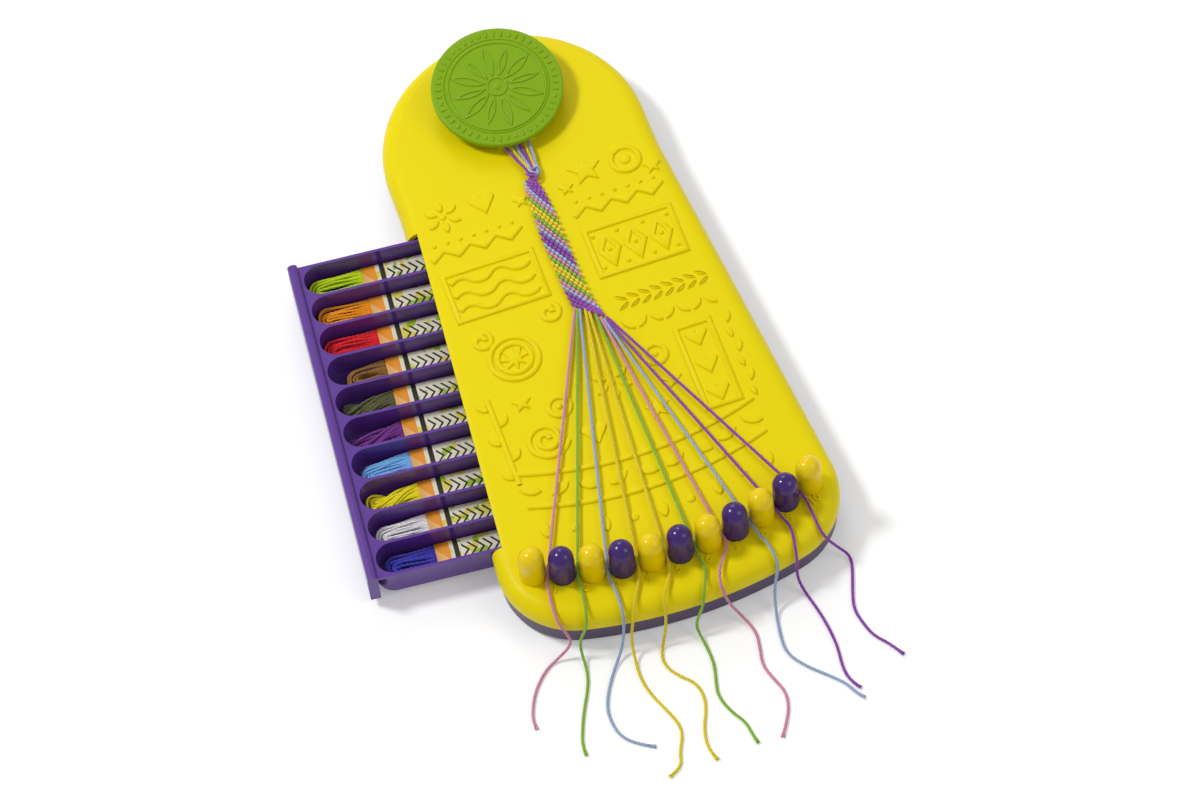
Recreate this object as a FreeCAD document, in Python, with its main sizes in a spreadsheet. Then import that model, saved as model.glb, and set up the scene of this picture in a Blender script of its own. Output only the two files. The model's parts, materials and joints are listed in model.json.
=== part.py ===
import FreeCAD, Part
import math
import os
import Sketcher
from FreeCAD import Placement, Rotation, Vector

# Bracelet knotting board: a tapered table-top board with a row of eleven soft pegs,
# a sprung disc clip on its round head and a thread drawer in its left side.
# Frame: +Y towards the head, +Z up, origin on the table under the middle of the board.
# Driving dimensions in millimetres and degrees. They fill the sheet "Sizes".
size = {
    # outline of the board, seen from above
    "head_radius": 59.8,        # round head, also half the width at the shoulders
    "head_centre": 92.2,        # head centre, ahead of the origin
    "shoulder": 73.3,           # where the straight sides start to flare
    "flare": 5.13,              # flare of each side, degrees
    "shoulder_blend": 80.0,     # radius that blends the shoulder
    "corner_radius": 34.7,      # the two corners at the peg end
    "front_radius": 205.5,      # convex front edge
    "front_land": 51.6,         # front edge, past the near end of the drawer's notch
    # heights above the table
    "foot_height": 0.8,
    "post_top": 8.0,
    "parting": 13.0,            # joint line of cover and base
    "board_top": 23.0,
    # cover
    "rim_roll": 7.0,
    "cover_plate": 2.4,
    "cover_wall": 2.4,
    "boss_radius": 3.2,
    "screw_core": 1.25,
    "core_depth": 8.0,
    "relief_height": 0.45,
    "relief_line": 1.4,         # width of the raised lines
    "upper_rib": 52.0,          # raised bands that follow the pegs, ahead of them
    "lower_rib": 35.0,
    "garland_row": 23.0,
    "rib_turn": 19.0,           # half the angle that they span
    # base
    "base_step": 0.3,           # base stands this far inside the cover's edge
    "base_draft": 1.2,          # and this much more at its foot
    "base_wall": 3.4,
    "base_floor": 2.4,
    "base_round": 1.4,
    "lip_height": 1.6,
    "fit_gap": 0.15,
    "rib_height": 0.7,
    "rib_width": 3.0,
    "rib_spread": 60.0,
    "guide_wall": 1.2,
    "guide_start": 8.5,
    "guide_end": 104.0,
    "guide_height": 8.6,
    "stop_block": 4.0,
    # pegs
    "peg_pitch": 12.8,
    "peg_arc": 166.3,           # radius of the row's arc
    "peg_inset": 21.5,          # middle peg, from the front edge
    "peg_radius": 5.8,
    "peg_crown": 5.55,          # radius of the dome
    "peg_height": 19.4,
    "peg_foot": 0.5,
    "stem_radius": 2.9,
    "stem_barb": 0.55,
    "stem_tip": 2.2,
    "stem_barb_drop": 2.4,
    "stem_gap": 0.05,
    # drawer
    "drawer_centre": 92.6,      # middle of the drawer along the left side, from the shoulder
    "notch_depth": 4.9,
    "panel_thick": 4.6,
    "panel_over": 0.5,          # front panel past the tray at each end
    "panel_gap": 0.4,
    "panel_top": 22.0,
    "panel_roll": 2.2,
    "panel_toe": 0.8,
    "drawer_bottom": 4.0,
    "tray_rim": 19.6,
    "tray_floor": 1.5,
    "compartment_pitch": 16.05,
    "divider": 1.3,
    "rim_over": 0.5,            # flange of the tray past its walls
    "rim_thick": 1.3,
    "tray_corner": 8.0,
    "tray_foot_round": 1.5,
    "end_land": 1.2,            # tray wall behind the front panel
    "back_wall": 1.6,
    "tray_slack": 0.25,
    "stop_reach": 0.55,
    "stop_root": 0.5,
    "stop_from_back": 17.0,
    "stop_length": 4.0,
    "pull_out": 54.3,           # how far out the drawer stands at rest
    # skeins and their paper bands
    "skein_length": 103.0,
    "skein_width": 13.0,
    "skein_height": 6.4,
    "skein_waist": 2.5,
    "skein_gap": 0.3,
    "skein_start": 0.9,         # loop end, behind the end of its compartment
    "skein_end_gap": 0.7,
    "skein_pinch": 0.4,         # how much narrower the band makes it
    "band_start": 25.0,         # band, behind the loop end
    "band_length": 56.0,
    "band_width": 13.8,
    "band_height": 3.3,
    "paper": 0.25,
    # clip, measured from its hinge pin
    "pin_ahead": 110.0,
    "pin_height": 27.0,
    "pin_radius": 1.1,
    "pin_clear": 0.05,
    "pin_head": 1.7,
    "pin_head_thick": 0.5,
    "disc_radius": 29.5,
    "disc_thick": 3.2,
    "disc_plate": 2.2,
    "disc_skirt": 2.0,
    "disc_round": 0.9,
    "disc_tilt": 5.9,
    "disc_ahead": 6.4,
    "disc_above": 6.4,
    "groove_radius": 23.5,
    "groove": 0.35,
    "lug_radius": 2.5,
    "lug_spread": 1.0,          # wider than its eye at the plate, each side
    "lug_inside": 8.5,
    "lug_thick": 2.4,
    "ear_radius": 2.6,
    "ear_spread": 1.2,
    "ear_inside": 5.75,
    "ear_thick": 2.4,
    "jaw_reach": 17.1,
    "jaw_tip": 0.2,
    "jaw_width": 24.0,
    "jaw_thick": 2.6,
    "bracket_plate": 1.2,
    "bracket_width": 28.0,
    "bracket_back": 6.0,
    "bracket_front": 12.0,
    "bracket_screw_across": 10.8,
    "bracket_screw_ahead": 8.0,
    "bracket_boss": 4.0,
    "spring_wire": 0.4,
    "spring_radius": 1.9,
    "spring_pitch": 0.95,
    "spring_turns": 4.5,
    "spring_leg": 10.0,
    "spring_rest": 2.5,         # slope of the leg on the bracket, degrees
    "spring_lift": 13.0,        # slope of the leg under the disc, degrees
    "pad_width": 17.0,
    "pad_depth": 5.0,
    "pad_height": 1.0,
    "pad_round": 0.4,
    # screws and feet: insets are from the outline, angles are round its arcs' centres
    "head_screw_inset": 13.4,
    "head_screw_angle": 25.0,
    "tip_screw_inset": 9.0,
    "side_screw_inset": 9.8,
    "side_screw_behind": 60.0,
    "front_screw_inset": 8.2,
    "front_screw_across": 30.0,
    "bay_screw_depth": 14.0,
    "bay_screw_past": 6.4,
    "head_foot_inset": 10.4,
    "head_foot_angle": 46.5,
    "corner_foot_inset": 17.3,
    "corner_foot_angle": -20.0,
    "screw_radius": 1.2,
    "screw_clear": 0.45,
    "screw_head": 2.7,
    "screw_head_thick": 2.0,
    "head_clear": 0.2,
    "seat": 4.0,                # underside of the screw heads' seats
    "screw_length": 11.0,
    "post_radius": 4.2,
    "foot_radius": 6.0,
    "foot_gap": 0.1,
    "foot_recess": 1.2,
    "foot_round": 0.5,
    # woven bracelet and threads
    "thread_radius": 0.55,
    "woven_thick": 2.2,
    "woven_above": 1.0,         # over the board
    "woven_round": 0.8,
    "knot_ahead": 71.6,
    "knot_right": 1.9,
    "knot_above": 0.4,
    "knot_across": 3.6,
    "knot_along": 3.3,
    "knot_height": 2.5,
    "tail_pitch": 1.16,
    "tail_root": 2.6,           # start of the strands, ahead of the knot's middle
    "tail_lift": 2.8,
    "tail_past_jaw": 3.6,
    "tail_left": 1.2,
    "tail_fan": 2.0,            # pitch under the jaw, as a share of the pitch at the knot
}

# Outline of the woven strip, anticlockwise from its knot.
wovenOutline = [(-3.7, 68.0), (-5.7, 40.0), (-5.5, 20.0), (-4.2, 0.4), (8.0, -11.0),
                (4.8, 10.0), (4.4, 35.0), (2.9, 67.0)]

# Raised decoration of the board, in modules of a twentieth of the head's radius.
frames = [(-18, -3.5, 3.5, 12.5), (4, 18, 3.5, 12.5), (11, 17, -23, -8)]     # sides, ends
rings = [(-12, -4.7, 4), (-12, -4.7, 2.9), (14.2, 22, 2.5), (-8.5, -14.7, 2), (7.4, -11.3, 2)]
stars = [(8, 22.3, 2.6, 5), (-12, -4.7, 2.1, 8), (4.8, -20, 1.9, 5)]         # reach, points
hearts = [(-8, 22.3, 2), (-5, -20.7, 1.9), (14, -20.4, 1.7), (14, -15.5, 1.7), (14, -10.6, 1.7)]
flowers = [(-14.3, 22, 2.8), (0, -13.4, 3)]
diamonds = [(7, 8), (11, 8), (15, 8)]
zigzags = [(-18, 15.3), (4, 15.3)]                                            # left ends
waves = [(-16.8, 5.6), (-16.8, 8), (-16.8, 10.4)]                             # left ends
stem = (-18, -25, -10)                                                        # of a vine: x, ends
leafPitch = 3

# Free threads, from the woven end over their slot and the front edge onto the table.
# The first run of each is pulled tight; after its slot it lies loose.
threadRoutes = [
    [(-3.2, -0.1, 25), (-56.5, -120.5, 25.5), (-58.5, -126, 24.5), (-59.5, -132.5, 25.5),
     (-60, -143, 22), (-57.5, -145, 15), (-55.5, -148.5, 9.5), (-63.5, -149, 0.7),
     (-69.5, -152, 0.7), (-76.5, -159.5, 0.7), (-80.5, -167, 0.7), (-82.5, -173.5, 0.7),
     (-82, -177.5, 0.7)],
    [(-2.5, -1.2, 25), (-44.5, -124.5, 25.5), (-45.5, -130, 24.5), (-46, -138, 25),
     (-47.5, -145, 24.5), (-48.5, -148, 18.5), (-52.5, -149, 11.5), (-53, -151, 3.5),
     (-53, -158, 0.7), (-55, -165.5, 0.7), (-61, -177, 0.7), (-64.5, -185.5, 0.7),
     (-66.5, -191.5, 0.7), (-66.5, -196.5, 0.7)],
    [(-1.6, -1.6, 25), (-32, -127.5, 25.5), (-33, -133, 24.5), (-32, -138.5, 25.5),
     (-32.5, -149, 24), (-33, -151, 16), (-35.5, -154.5, 4.5), (-40.5, -160, 0.7),
     (-46.5, -168.5, 0.7), (-51, -178, 0.7), (-51.5, -185.5, 0.7), (-50, -193, 0.7),
     (-44.5, -199, 0.7), (-37.5, -203, 0.7)],
    [(0.6, -2.5, 25), (-19, -129.5, 25.5), (-20.3, -136, 24.5), (-26, -146, 25),
     (-28.5, -151, 21), (-31.5, -154, 8), (-32.5, -162, 0.7), (-33, -171.5, 0.7),
     (-31, -180, 0.7), (-27.5, -188.5, 0.7), (-25, -195.5, 0.7), (-25, -201.5, 0.7),
     (-29, -209, 0.7), (-30.5, -216, 0.7), (-37, -218.5, 0.7)],
    [(1.8, -4.3, 25), (-6.5, -130.5, 25.5), (-6.5, -136, 24.5), (-9.5, -142.5, 25),
     (-14.5, -149.5, 25), (-15, -153.5, 17), (-16.5, -156, 8.5), (-19, -158.5, 0.7),
     (-21.5, -164, 0.7), (-20.5, -170, 0.7), (-16.5, -175.5, 0.7), (-12, -180, 0.7),
     (-10.5, -186.5, 0.7), (-11.5, -193, 0.7), (-15.5, -201.5, 0.7), (-17, -208.5, 0.7),
     (-16.5, -214, 0.7), (-15, -218, 0.7)],
    [(4, -6.3, 25), (6.5, -130.5, 25.5), (6.5, -136, 24.5), (7, -143.5, 25),
     (3, -152, 23.5), (1.5, -154, 15), (-3, -157, 9), (-3, -158, 3), (-1.5, -167, 0.7),
     (-1.5, -175, 0.7), (-3.5, -182.5, 0.7), (-5, -189.5, 0.7), (-2.5, -198, 0.7),
     (2, -205.5, 0.7), (2.5, -211.5, 0.7), (3.5, -216.5, 0.7)],
    [(5.5, -8.7, 25), (19, -129.5, 25.5), (20, -135, 24.5), (15, -141, 25),
     (11.5, -147, 26), (10.5, -152.5, 23), (12.5, -155, 12), (17, -157.5, 2.5),
     (20.5, -166, 0.7), (19.5, -173.5, 0.7), (17.5, -182.5, 0.7), (20, -190.5, 0.7),
     (22.5, -197.5, 0.7), (21.5, -204.5, 0.7), (18, -211.5, 0.7), (14, -217.5, 0.7)],
    [(6.6, -10.3, 25), (32, -127.5, 25.5), (33, -133, 25.5), (36, -141, 25.5),
     (37, -149, 23.5), (37, -149.5, 17), (33.5, -153.5, 9.5), (31.5, -160.5, 0.7),
     (29.5, -171.5, 0.7), (29, -180.5, 0.7), (34.5, -189, 0.7), (42, -196.5, 0.7),
     (48, -203, 0.7), (50, -208, 0.7), (53, -212, 0.7)],
    [(7.6, -10.8, 25), (44.5, -124.5, 25.5), (45.5, -130, 24.5), (48, -136, 25.5),
     (46, -148, 22), (45.5, -149, 14.5), (44.5, -152, 8.5), (46.5, -156, 0.7),
     (48.5, -164.5, 0.7), (50, -174, 0.7), (50.5, -185, 0.7), (49, -195.5, 0.7),
     (50, -202.5, 0.7), (53, -207, 0.7)],
    [(8.2, -9.8, 25), (56.5, -120.5, 25.5), (58.5, -126, 24.5), (58.5, -133, 25.5),
     (59.5, -143.5, 21.5), (65.5, -143.5, 8.5), (71, -146, 0.7), (68.5, -154.5, 0.7),
     (65.5, -162.5, 0.7), (63, -171, 0.7), (65, -180.5, 0.7), (67, -186, 0.7),
     (72, -192, 0.7), (75.5, -198.5, 0.7)],
]

doc = FreeCAD.newDocument("KnottingBoard")


def fillSheet():
    sheet = doc.addObject("Spreadsheet::Sheet", "Sizes")
    for row, (name, value) in enumerate(size.items(), start=1):
        sheet.set(f"A{row}", name)
        sheet.set(f"B{row}", str(value))
        sheet.setAlias(f"B{row}", name)
    doc.recompute()


class Term:
    """A length made of cells: the text of its expression and its value."""

    def __init__(self, text, value):
        self.text = text
        self.value = value

    def combine(self, sign, other):
        other = asTerm(other)
        value = {"+": self.value + other.value, "-": self.value - other.value,
                 "*": self.value * other.value}[sign]
        return Term(f"({self.text} {sign} {other.text})", value)

    def __add__(self, other):
        return self.combine("+", other)

    def __sub__(self, other):
        return self.combine("-", other)

    def __mul__(self, other):
        return self.combine("*", other)

    def __rsub__(self, other):
        return asTerm(other).combine("-", self)

    __radd__ = __add__
    __rmul__ = __mul__

    def __neg__(self):
        return self * -1


def asTerm(value):
    return value if isinstance(value, Term) else Term(repr(float(value)), float(value))


def cell(name):
    return Term("Sizes." + name, size[name])


# ---------------------------------------------------------------- frames
up = Vector(0, 0, 1)
flare = math.radians(size["flare"])
along = Vector(math.sin(flare), math.cos(flare), 0)      # up the left side, to the head
inward = Vector(math.cos(flare), -math.sin(flare), 0)    # square to it, into the board
leftShoulder = Vector(-size["head_radius"], size["shoulder"], 0)
drawerOrigin = leftShoulder - along * size["drawer_centre"]
drawerTurn = Rotation(up, -size["flare"])
closedDrawer = Placement(drawerOrigin, drawerTurn)
restDrawer = Placement(drawerOrigin - inward * size["pull_out"], drawerTurn)

# half widths of the drawer's parts, along the board's side
trayHalf = 5 * cell("compartment_pitch") + 0.5 * cell("divider")
panelHalf = trayHalf + cell("panel_over")
notchHalf = panelHalf + cell("panel_gap")
floorTop = cell("foot_height") + cell("base_floor")
ceiling = cell("board_top") - cell("cover_plate")
compartmentWidth = cell("compartment_pitch") - cell("divider")
compartmentStart = cell("panel_thick") + cell("end_land")
compartmentEnd = compartmentStart + cell("skein_start") + cell("skein_length") + cell("skein_end_gap")
trayDepth = compartmentEnd + cell("back_wall")
trayFloorTop = cell("drawer_bottom") + cell("tray_floor")
# the front edge behind the origin, and the middle of its arc
frontReach = (cell("drawer_centre") + notchHalf) * math.cos(flare) - cell("shoulder") + cell("front_land")
frontCentre = cell("front_radius") - frontReach
module = 0.05 * cell("head_radius")
pegNames = [f"peg_{k:02d}" for k in range(1, 12)]
skeinNames = ["lime", "orange", "red", "brown", "olive", "plum", "sky", "yellow", "white", "blue"]


def onPegArc(k):
    """The foot of peg k on the board's top."""
    r = size["peg_arc"]
    angle = (k - 6) * size["peg_pitch"] / r
    row = frontReach.value - size["peg_inset"]
    return Vector(r * math.sin(angle), r - r * math.cos(angle) - row, size["board_top"])


def sideLine(inset):
    """c x + s y is this on the right-hand side of the outline."""
    return math.cos(flare) * size["head_radius"] + math.sin(flare) * size["shoulder"] - inset


def cornerOf(inset=0.0):
    """Centre of the right-hand corner, and the angle at which it meets the front edge."""
    c, s = math.cos(flare), math.sin(flare)
    radius = size["corner_radius"] - inset
    offset = sideLine(inset) - radius
    frontY = frontCentre.value
    span = size["front_radius"] - inset - radius
    a = 1 + (s / c) ** 2
    b = -2 * (s * offset / c ** 2 + frontY)
    d = offset ** 2 / c ** 2 + frontY ** 2 - span ** 2
    y = (-b - math.sqrt(b * b - 4 * a * d)) / (2 * a)
    corner = Vector((offset - s * y) / c, y)
    return corner, math.atan2(y - frontY, corner.x)


def headPoint(inset, angle):
    r = size["head_radius"] - inset
    turn = math.radians(angle)
    return Vector(r * math.cos(turn), size["head_centre"] + r * math.sin(turn))


def cornerPoint(inset, angle):
    r = size["corner_radius"] - inset
    turn = math.radians(angle)
    return cornerOf()[0] + Vector(r * math.cos(turn), r * math.sin(turn))


def frontPoint(inset, across):
    r = size["front_radius"] - inset
    return Vector(across, frontCentre.value - math.sqrt(r * r - across ** 2))


def sidePoint(inset, y):
    return Vector((sideLine(inset) - math.sin(flare) * y) / math.cos(flare), y)


def besideDrawer(depth, past):
    """A point past the near end of the drawer's bay."""
    return drawerOrigin + inward * depth - along * (notchHalf.value + past)


def caseScrews():
    """Three screws round the head, one in the right side, two in the front, one by the drawer."""
    inset, angle = size["head_screw_inset"], size["head_screw_angle"]
    frontInset, across = size["front_screw_inset"], size["front_screw_across"]
    return [headPoint(inset, angle), headPoint(size["tip_screw_inset"], 90), headPoint(inset, 180 - angle),
            sidePoint(size["side_screw_inset"], -size["side_screw_behind"]),
            frontPoint(frontInset, across), frontPoint(frontInset, -across),
            besideDrawer(size["bay_screw_depth"], size["bay_screw_past"])]


def feetPoints():
    """Two feet near the head, two near the corners and one under the middle."""
    right = [headPoint(size["head_foot_inset"], size["head_foot_angle"]),
             cornerPoint(size["corner_foot_inset"], size["corner_foot_angle"])]
    return right + [Vector(-p.x, p.y) for p in right] + [Vector()]


# ---------------------------------------------------------------- helpers
def newBody(label, place=None):
    body = doc.addObject("PartDesign::Body", label)
    body.Label = label
    if place:
        body.Placement = place
    return body


def newSketch(body, name, plane="XY_Plane", lift=None, place=None):
    sketch = body.newObject("Sketcher::SketchObject", name)
    base = next(f for f in body.Origin.OriginFeatures if f.Role == plane)
    sketch.AttachmentSupport = [(base, "")]
    sketch.MapMode = "FlatFace"
    if place:
        sketch.AttachmentOffset = place
    if lift is not None:
        sketch.setExpression("AttachmentOffset.Base.z", asTerm(lift).text)
    return sketch


def bind(sketch, kind, target, term):
    """Adds a dimension and ties it to the sheet."""
    term = asTerm(term)
    index = sketch.addConstraint(Sketcher.Constraint(kind, *target, term.value))
    if "Sizes" in term.text:
        sketch.setExpression(f"Constraints[{index}]", term.text)


def fixAt(sketch, edge, end, kind, term):
    """Fixes one coordinate of an edge's end (1, 2) or centre (3)."""
    term = asTerm(term)
    if term.text == "0.0":
        axis = -2 if kind == "DistanceX" else -1
        sketch.addConstraint(Sketcher.Constraint("PointOnObject", edge, end, axis))
    else:
        bind(sketch, kind, (-1, 1, edge, end), term)


def pin(sketch, edge, end, x, y):
    fixAt(sketch, edge, end, "DistanceX", x)
    fixAt(sketch, edge, end, "DistanceY", y)


def grow(body, kind, sketch, length, reverse=False, middle=False):
    """A pad or a pocket whose length is tied to the sheet."""
    feature = body.newObject(f"PartDesign::{kind}", f"{sketch.Name}{kind}")
    feature.Profile = sketch
    feature.setExpression("Length", asTerm(length).text)
    feature.Reversed = reverse
    feature.Midplane = middle
    doc.recompute()
    return feature


def revolve(body, sketch, axis="V_Axis"):
    feature = body.newObject("PartDesign::Revolution", f"{sketch.Name}Turned")
    feature.Profile = sketch
    feature.ReferenceAxis = (sketch, [axis])
    feature.Angle = 360
    doc.recompute()
    return feature


def edgesWhere(feature, test):
    return [f"Edge{k}" for k, edge in enumerate(feature.Shape.Edges, start=1) if test(edge.BoundBox)]


def level(z):
    """Picks edges that lie flat at this height."""
    return lambda box: abs(box.ZMin - z) < 1e-4 and abs(box.ZMax - z) < 1e-4


def upright(box):
    return box.XLength < 1e-4 and box.YLength < 1e-4


def soften(body, feature, edges, radius, name):
    fillet = body.newObject("PartDesign::Fillet", name)
    fillet.Base = (feature, edges)
    fillet.setExpression("Radius", asTerm(radius).text)
    doc.recompute()
    return fillet


def polygon(sketch, corners, arcs=None):
    """A closed outline through corners (x, y). An arc replaces the edge after a corner:
    arcs[k] is its radius, positive where it bulges to the right of the way along."""
    arcs = arcs or {}
    first = sketch.GeometryCount
    count = len(corners)
    points = [Vector(asTerm(x).value, asTerm(y).value) for x, y in corners]
    flipped = {}
    for k in range(count):
        start, end = points[k], points[(k + 1) % count]
        if k not in arcs:
            sketch.addGeometry(Part.LineSegment(start, end))
            flipped[k] = False
            continue
        radius = asTerm(arcs[k]).value
        chord = end - start
        half = chord.Length / 2
        side = Vector(chord.y, -chord.x).normalize() * (1 if radius > 0 else -1)
        centre = (start + end) * 0.5 - side * math.sqrt(max(radius * radius - half * half, 0))
        a0 = math.atan2(start.y - centre.y, start.x - centre.x)
        a1 = math.atan2(end.y - centre.y, end.x - centre.x)
        flipped[k] = radius < 0
        circle = Part.Circle(centre, up, abs(radius))
        if radius > 0:
            sketch.addGeometry(Part.ArcOfCircle(circle, a0, a1 if a1 > a0 else a1 + 2 * math.pi))
        else:
            sketch.addGeometry(Part.ArcOfCircle(circle, a1, a0 if a0 > a1 else a0 + 2 * math.pi))
    for k in range(count):
        after = (k + 1) % count
        endOf = 1 if flipped[k] else 2
        startOf = 2 if flipped[after] else 1
        sketch.addConstraint(Sketcher.Constraint("Coincident", first + k, endOf, first + after, startOf))
    for k, (x, y) in enumerate(corners):
        pin(sketch, first + k, 2 if flipped[k] else 1, x, y)
    for k, radius in arcs.items():
        radius = asTerm(radius)
        chord = points[(k + 1) % count] - points[k]
        if chord.Length < 2 * abs(radius.value) - 1e-6:
            bind(sketch, "Radius", (first + k,), radius if radius.value > 0 else -radius)
        elif abs(chord.x) < abs(chord.y):      # a half circle keeps its centre on its chord
            fixAt(sketch, first + k, 3, "DistanceX", corners[k][0])
        else:
            fixAt(sketch, first + k, 3, "DistanceY", corners[k][1])


def rectangle(sketch, x0, x1, y0, y1):
    polygon(sketch, [(x0, y0), (x1, y0), (x1, y1), (x0, y1)])


def circles(sketch, points, radius):
    radius = asTerm(radius)
    for p in points:
        index = sketch.addGeometry(Part.Circle(Vector(p.x, p.y), up, radius.value))
        pin(sketch, index, 3, p.x if abs(p.x) > 1e-9 else 0, p.y if abs(p.y) > 1e-9 else 0)
        bind(sketch, "Radius", (index,), radius)


def boardOutline(sketch, inset):
    """The board's outline moved inwards: head arc, shoulders, flared sides, corners, front."""
    inset = asTerm(inset)
    c, s = math.cos(flare), math.sin(flare)
    headR = cell("head_radius") - inset
    blendR = cell("shoulder_blend") + inset
    cornerR = cell("corner_radius") - inset
    frontR = cell("front_radius") - inset
    head = Vector(0, size["head_centre"])
    front = Vector(0, frontCentre.value)
    reach = blendR.value * math.tan(flare / 2)
    knee = Vector(headR.value, (sideLine(inset.value) - c * headR.value) / s)
    blendCentre = knee + Vector(blendR.value, reach)
    corner, lean = cornerOf(inset.value)
    sideEnd = corner + Vector(c, s) * cornerR.value

    def mirror(p):
        return Vector(-p.x, p.y)

    def arc(centre, radius, start, end):
        return Part.ArcOfCircle(Part.Circle(centre, up, radius.value), start, end)

    right = [
        Part.LineSegment(Vector(headR.value, head.y), knee + Vector(0, reach)),
        arc(blendCentre, blendR, math.pi, math.pi + flare),
        Part.LineSegment(knee + Vector(s, -c) * reach, sideEnd),
        arc(corner, cornerR, lean, flare),
    ]
    left = [
        Part.LineSegment(Vector(-headR.value, head.y), mirror(knee + Vector(0, reach))),
        arc(mirror(blendCentre), blendR, -flare, 0),
        Part.LineSegment(mirror(knee + Vector(s, -c) * reach), mirror(sideEnd)),
        arc(mirror(corner), cornerR, math.pi - flare, math.pi - lean),
    ]
    first = sketch.GeometryCount
    sketch.addGeometry(arc(head, headR, 0, math.pi))
    for edge in right + left:
        sketch.addGeometry(edge)
    sketch.addGeometry(arc(front, frontR, math.pi - lean, lean + 2 * math.pi))
    headArc, frontArc = first, first + 9

    def tangent(one, oneEnd, two, twoEnd):
        sketch.addConstraint(Sketcher.Constraint("Tangent", one, oneEnd, two, twoEnd))

    for onRight, line in ((True, first + 1), (False, first + 5)):
        blend, flank, turn = line + 1, line + 2, line + 3
        near, far = (1, 2) if onRight else (2, 1)
        tangent(headArc, near, line, 1)
        tangent(line, 2, blend, near)
        tangent(blend, far, flank, 1)
        tangent(flank, 2, turn, far)
        tangent(turn, near, frontArc, far)
        sketch.addConstraint(Sketcher.Constraint("Vertical", line))
        bind(sketch, "Radius", (blend,), blendR)
        bind(sketch, "Radius", (turn,), cornerR)
    sketch.addConstraint(Sketcher.Constraint("PointOnObject", headArc, 3, -2))
    sketch.addConstraint(Sketcher.Constraint("PointOnObject", frontArc, 3, -2))
    bind(sketch, "Radius", (headArc,), headR)
    bind(sketch, "DistanceY", (-1, 1, headArc, 3), cell("head_centre"))
    bind(sketch, "Radius", (frontArc,), frontR)
    bind(sketch, "DistanceY", (-1, 1, frontArc, 3), frontCentre)


# ---------------------------------------------------------------- case
def cover():
    """Moulded top shell: rolled rim, drawer notch, screw bosses and peg holes."""
    body = newBody("cover")
    parting, top, wall = cell("parting"), cell("board_top"), cell("cover_wall")
    outer = newSketch(body, "coverOutline", lift=parting)
    boardOutline(outer, 0)
    block = grow(body, "Pad", outer, top - parting)
    soften(body, block, edgesWhere(block, level(top.value)), cell("rim_roll"), "rolledRim")
    inner = newSketch(body, "coverCavity", lift=parting)
    boardOutline(inner, wall)
    hollow = grow(body, "Pocket", inner, ceiling - parting, reverse=True)
    soften(body, hollow, edgesWhere(hollow, level(ceiling.value)), cell("rim_roll") - wall, "ceilingRound")

    bosses = newSketch(body, "coverBosses", lift=cell("post_top"))
    circles(bosses, caseScrews(), cell("boss_radius"))
    grow(body, "Pad", bosses, ceiling - cell("post_top"))
    cores = newSketch(body, "coverCores", lift=cell("post_top"))
    circles(cores, caseScrews(), cell("screw_core"))
    grow(body, "Pocket", cores, cell("core_depth"), reverse=True)

    bracketBosses = newSketch(body, "bracketBosses", lift=ceiling - cell("bracket_boss"))
    circles(bracketBosses, bracketScrewPoints(), cell("boss_radius"))
    grow(body, "Pad", bracketBosses, cell("bracket_boss"))
    bracketCores = newSketch(body, "bracketCores", lift=top)
    circles(bracketCores, bracketScrewPoints(), cell("screw_core"))
    grow(body, "Pocket", bracketCores, cell("cover_plate") + cell("bracket_boss"))

    pegHoles = newSketch(body, "pegHoles", lift=top)
    circles(pegHoles, [onPegArc(k) for k in range(1, 12)], cell("stem_radius") + cell("stem_gap"))
    grow(body, "Pocket", pegHoles, cell("cover_plate"))

    notch = newSketch(body, "coverNotch", lift=parting, place=closedDrawer)
    rectangle(notch, -cell("rim_roll"), cell("notch_depth"), -notchHalf, notchHalf)
    grow(body, "Pocket", notch, top - parting, reverse=True)
    decorate(body)
    return body


# ---------------------------------------------------------------- decoration
def modules(count):
    return count * module if abs(count) > 1e-9 else 0


def around(x, y, reach, angle):
    """The point at this reach from (x, y), all in modules."""
    turn = math.radians(angle)
    return modules(x + reach * math.cos(turn)), modules(y + reach * math.sin(turn))


def lens(sketch, start, end, bulge):
    """A leaf between two points; its sides are arcs of this radius."""
    polygon(sketch, [start, end], {0: bulge, 1: bulge})


def frameLines(sketch, line):
    for x0, x1, y0, y1 in frames:
        sides = modules(x0), modules(x1), modules(y0), modules(y1)
        rectangle(sketch, *sides)
        rectangle(sketch, sides[0] + line, sides[1] - line, sides[2] + line, sides[3] - line)
    for x, y in diamonds:
        for reach in (1.7, 1.1):
            polygon(sketch, [(modules(x - reach), modules(y)), (modules(x), modules(y - 1.8 * reach)),
                             (modules(x + reach), modules(y)), (modules(x), modules(y + 1.8 * reach))])


def roundMotifs(sketch, line):
    for x, y, reach in rings:
        for radius in (reach * module, reach * module - line):
            ring = sketch.addGeometry(Part.Circle(Vector(x, y) * module.value, up, radius.value))
            pin(sketch, ring, 3, modules(x), modules(y))
            bind(sketch, "Radius", (ring,), radius)
    for x, y, reach in flowers:
        for angle in range(30, 390, 60):
            lens(sketch, around(x, y, 0.3 * reach, angle), around(x, y, reach, angle), 0.44 * reach * module)


def pointedMotifs(sketch, line):
    for x, y, reach, count in stars:
        polygon(sketch, [around(x, y, reach * (1, 0.45)[k % 2], 90 + k * 180 / count)
                         for k in range(2 * count)])
    for x, y, reach in hearts:
        lobe = modules(y + 0.3 * reach)
        polygon(sketch, [(modules(x), modules(y - reach)), (modules(x + reach), lobe), (modules(x), lobe),
                         (modules(x - reach), lobe)], {1: 0.5 * reach * module, 2: 0.5 * reach * module})


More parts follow.
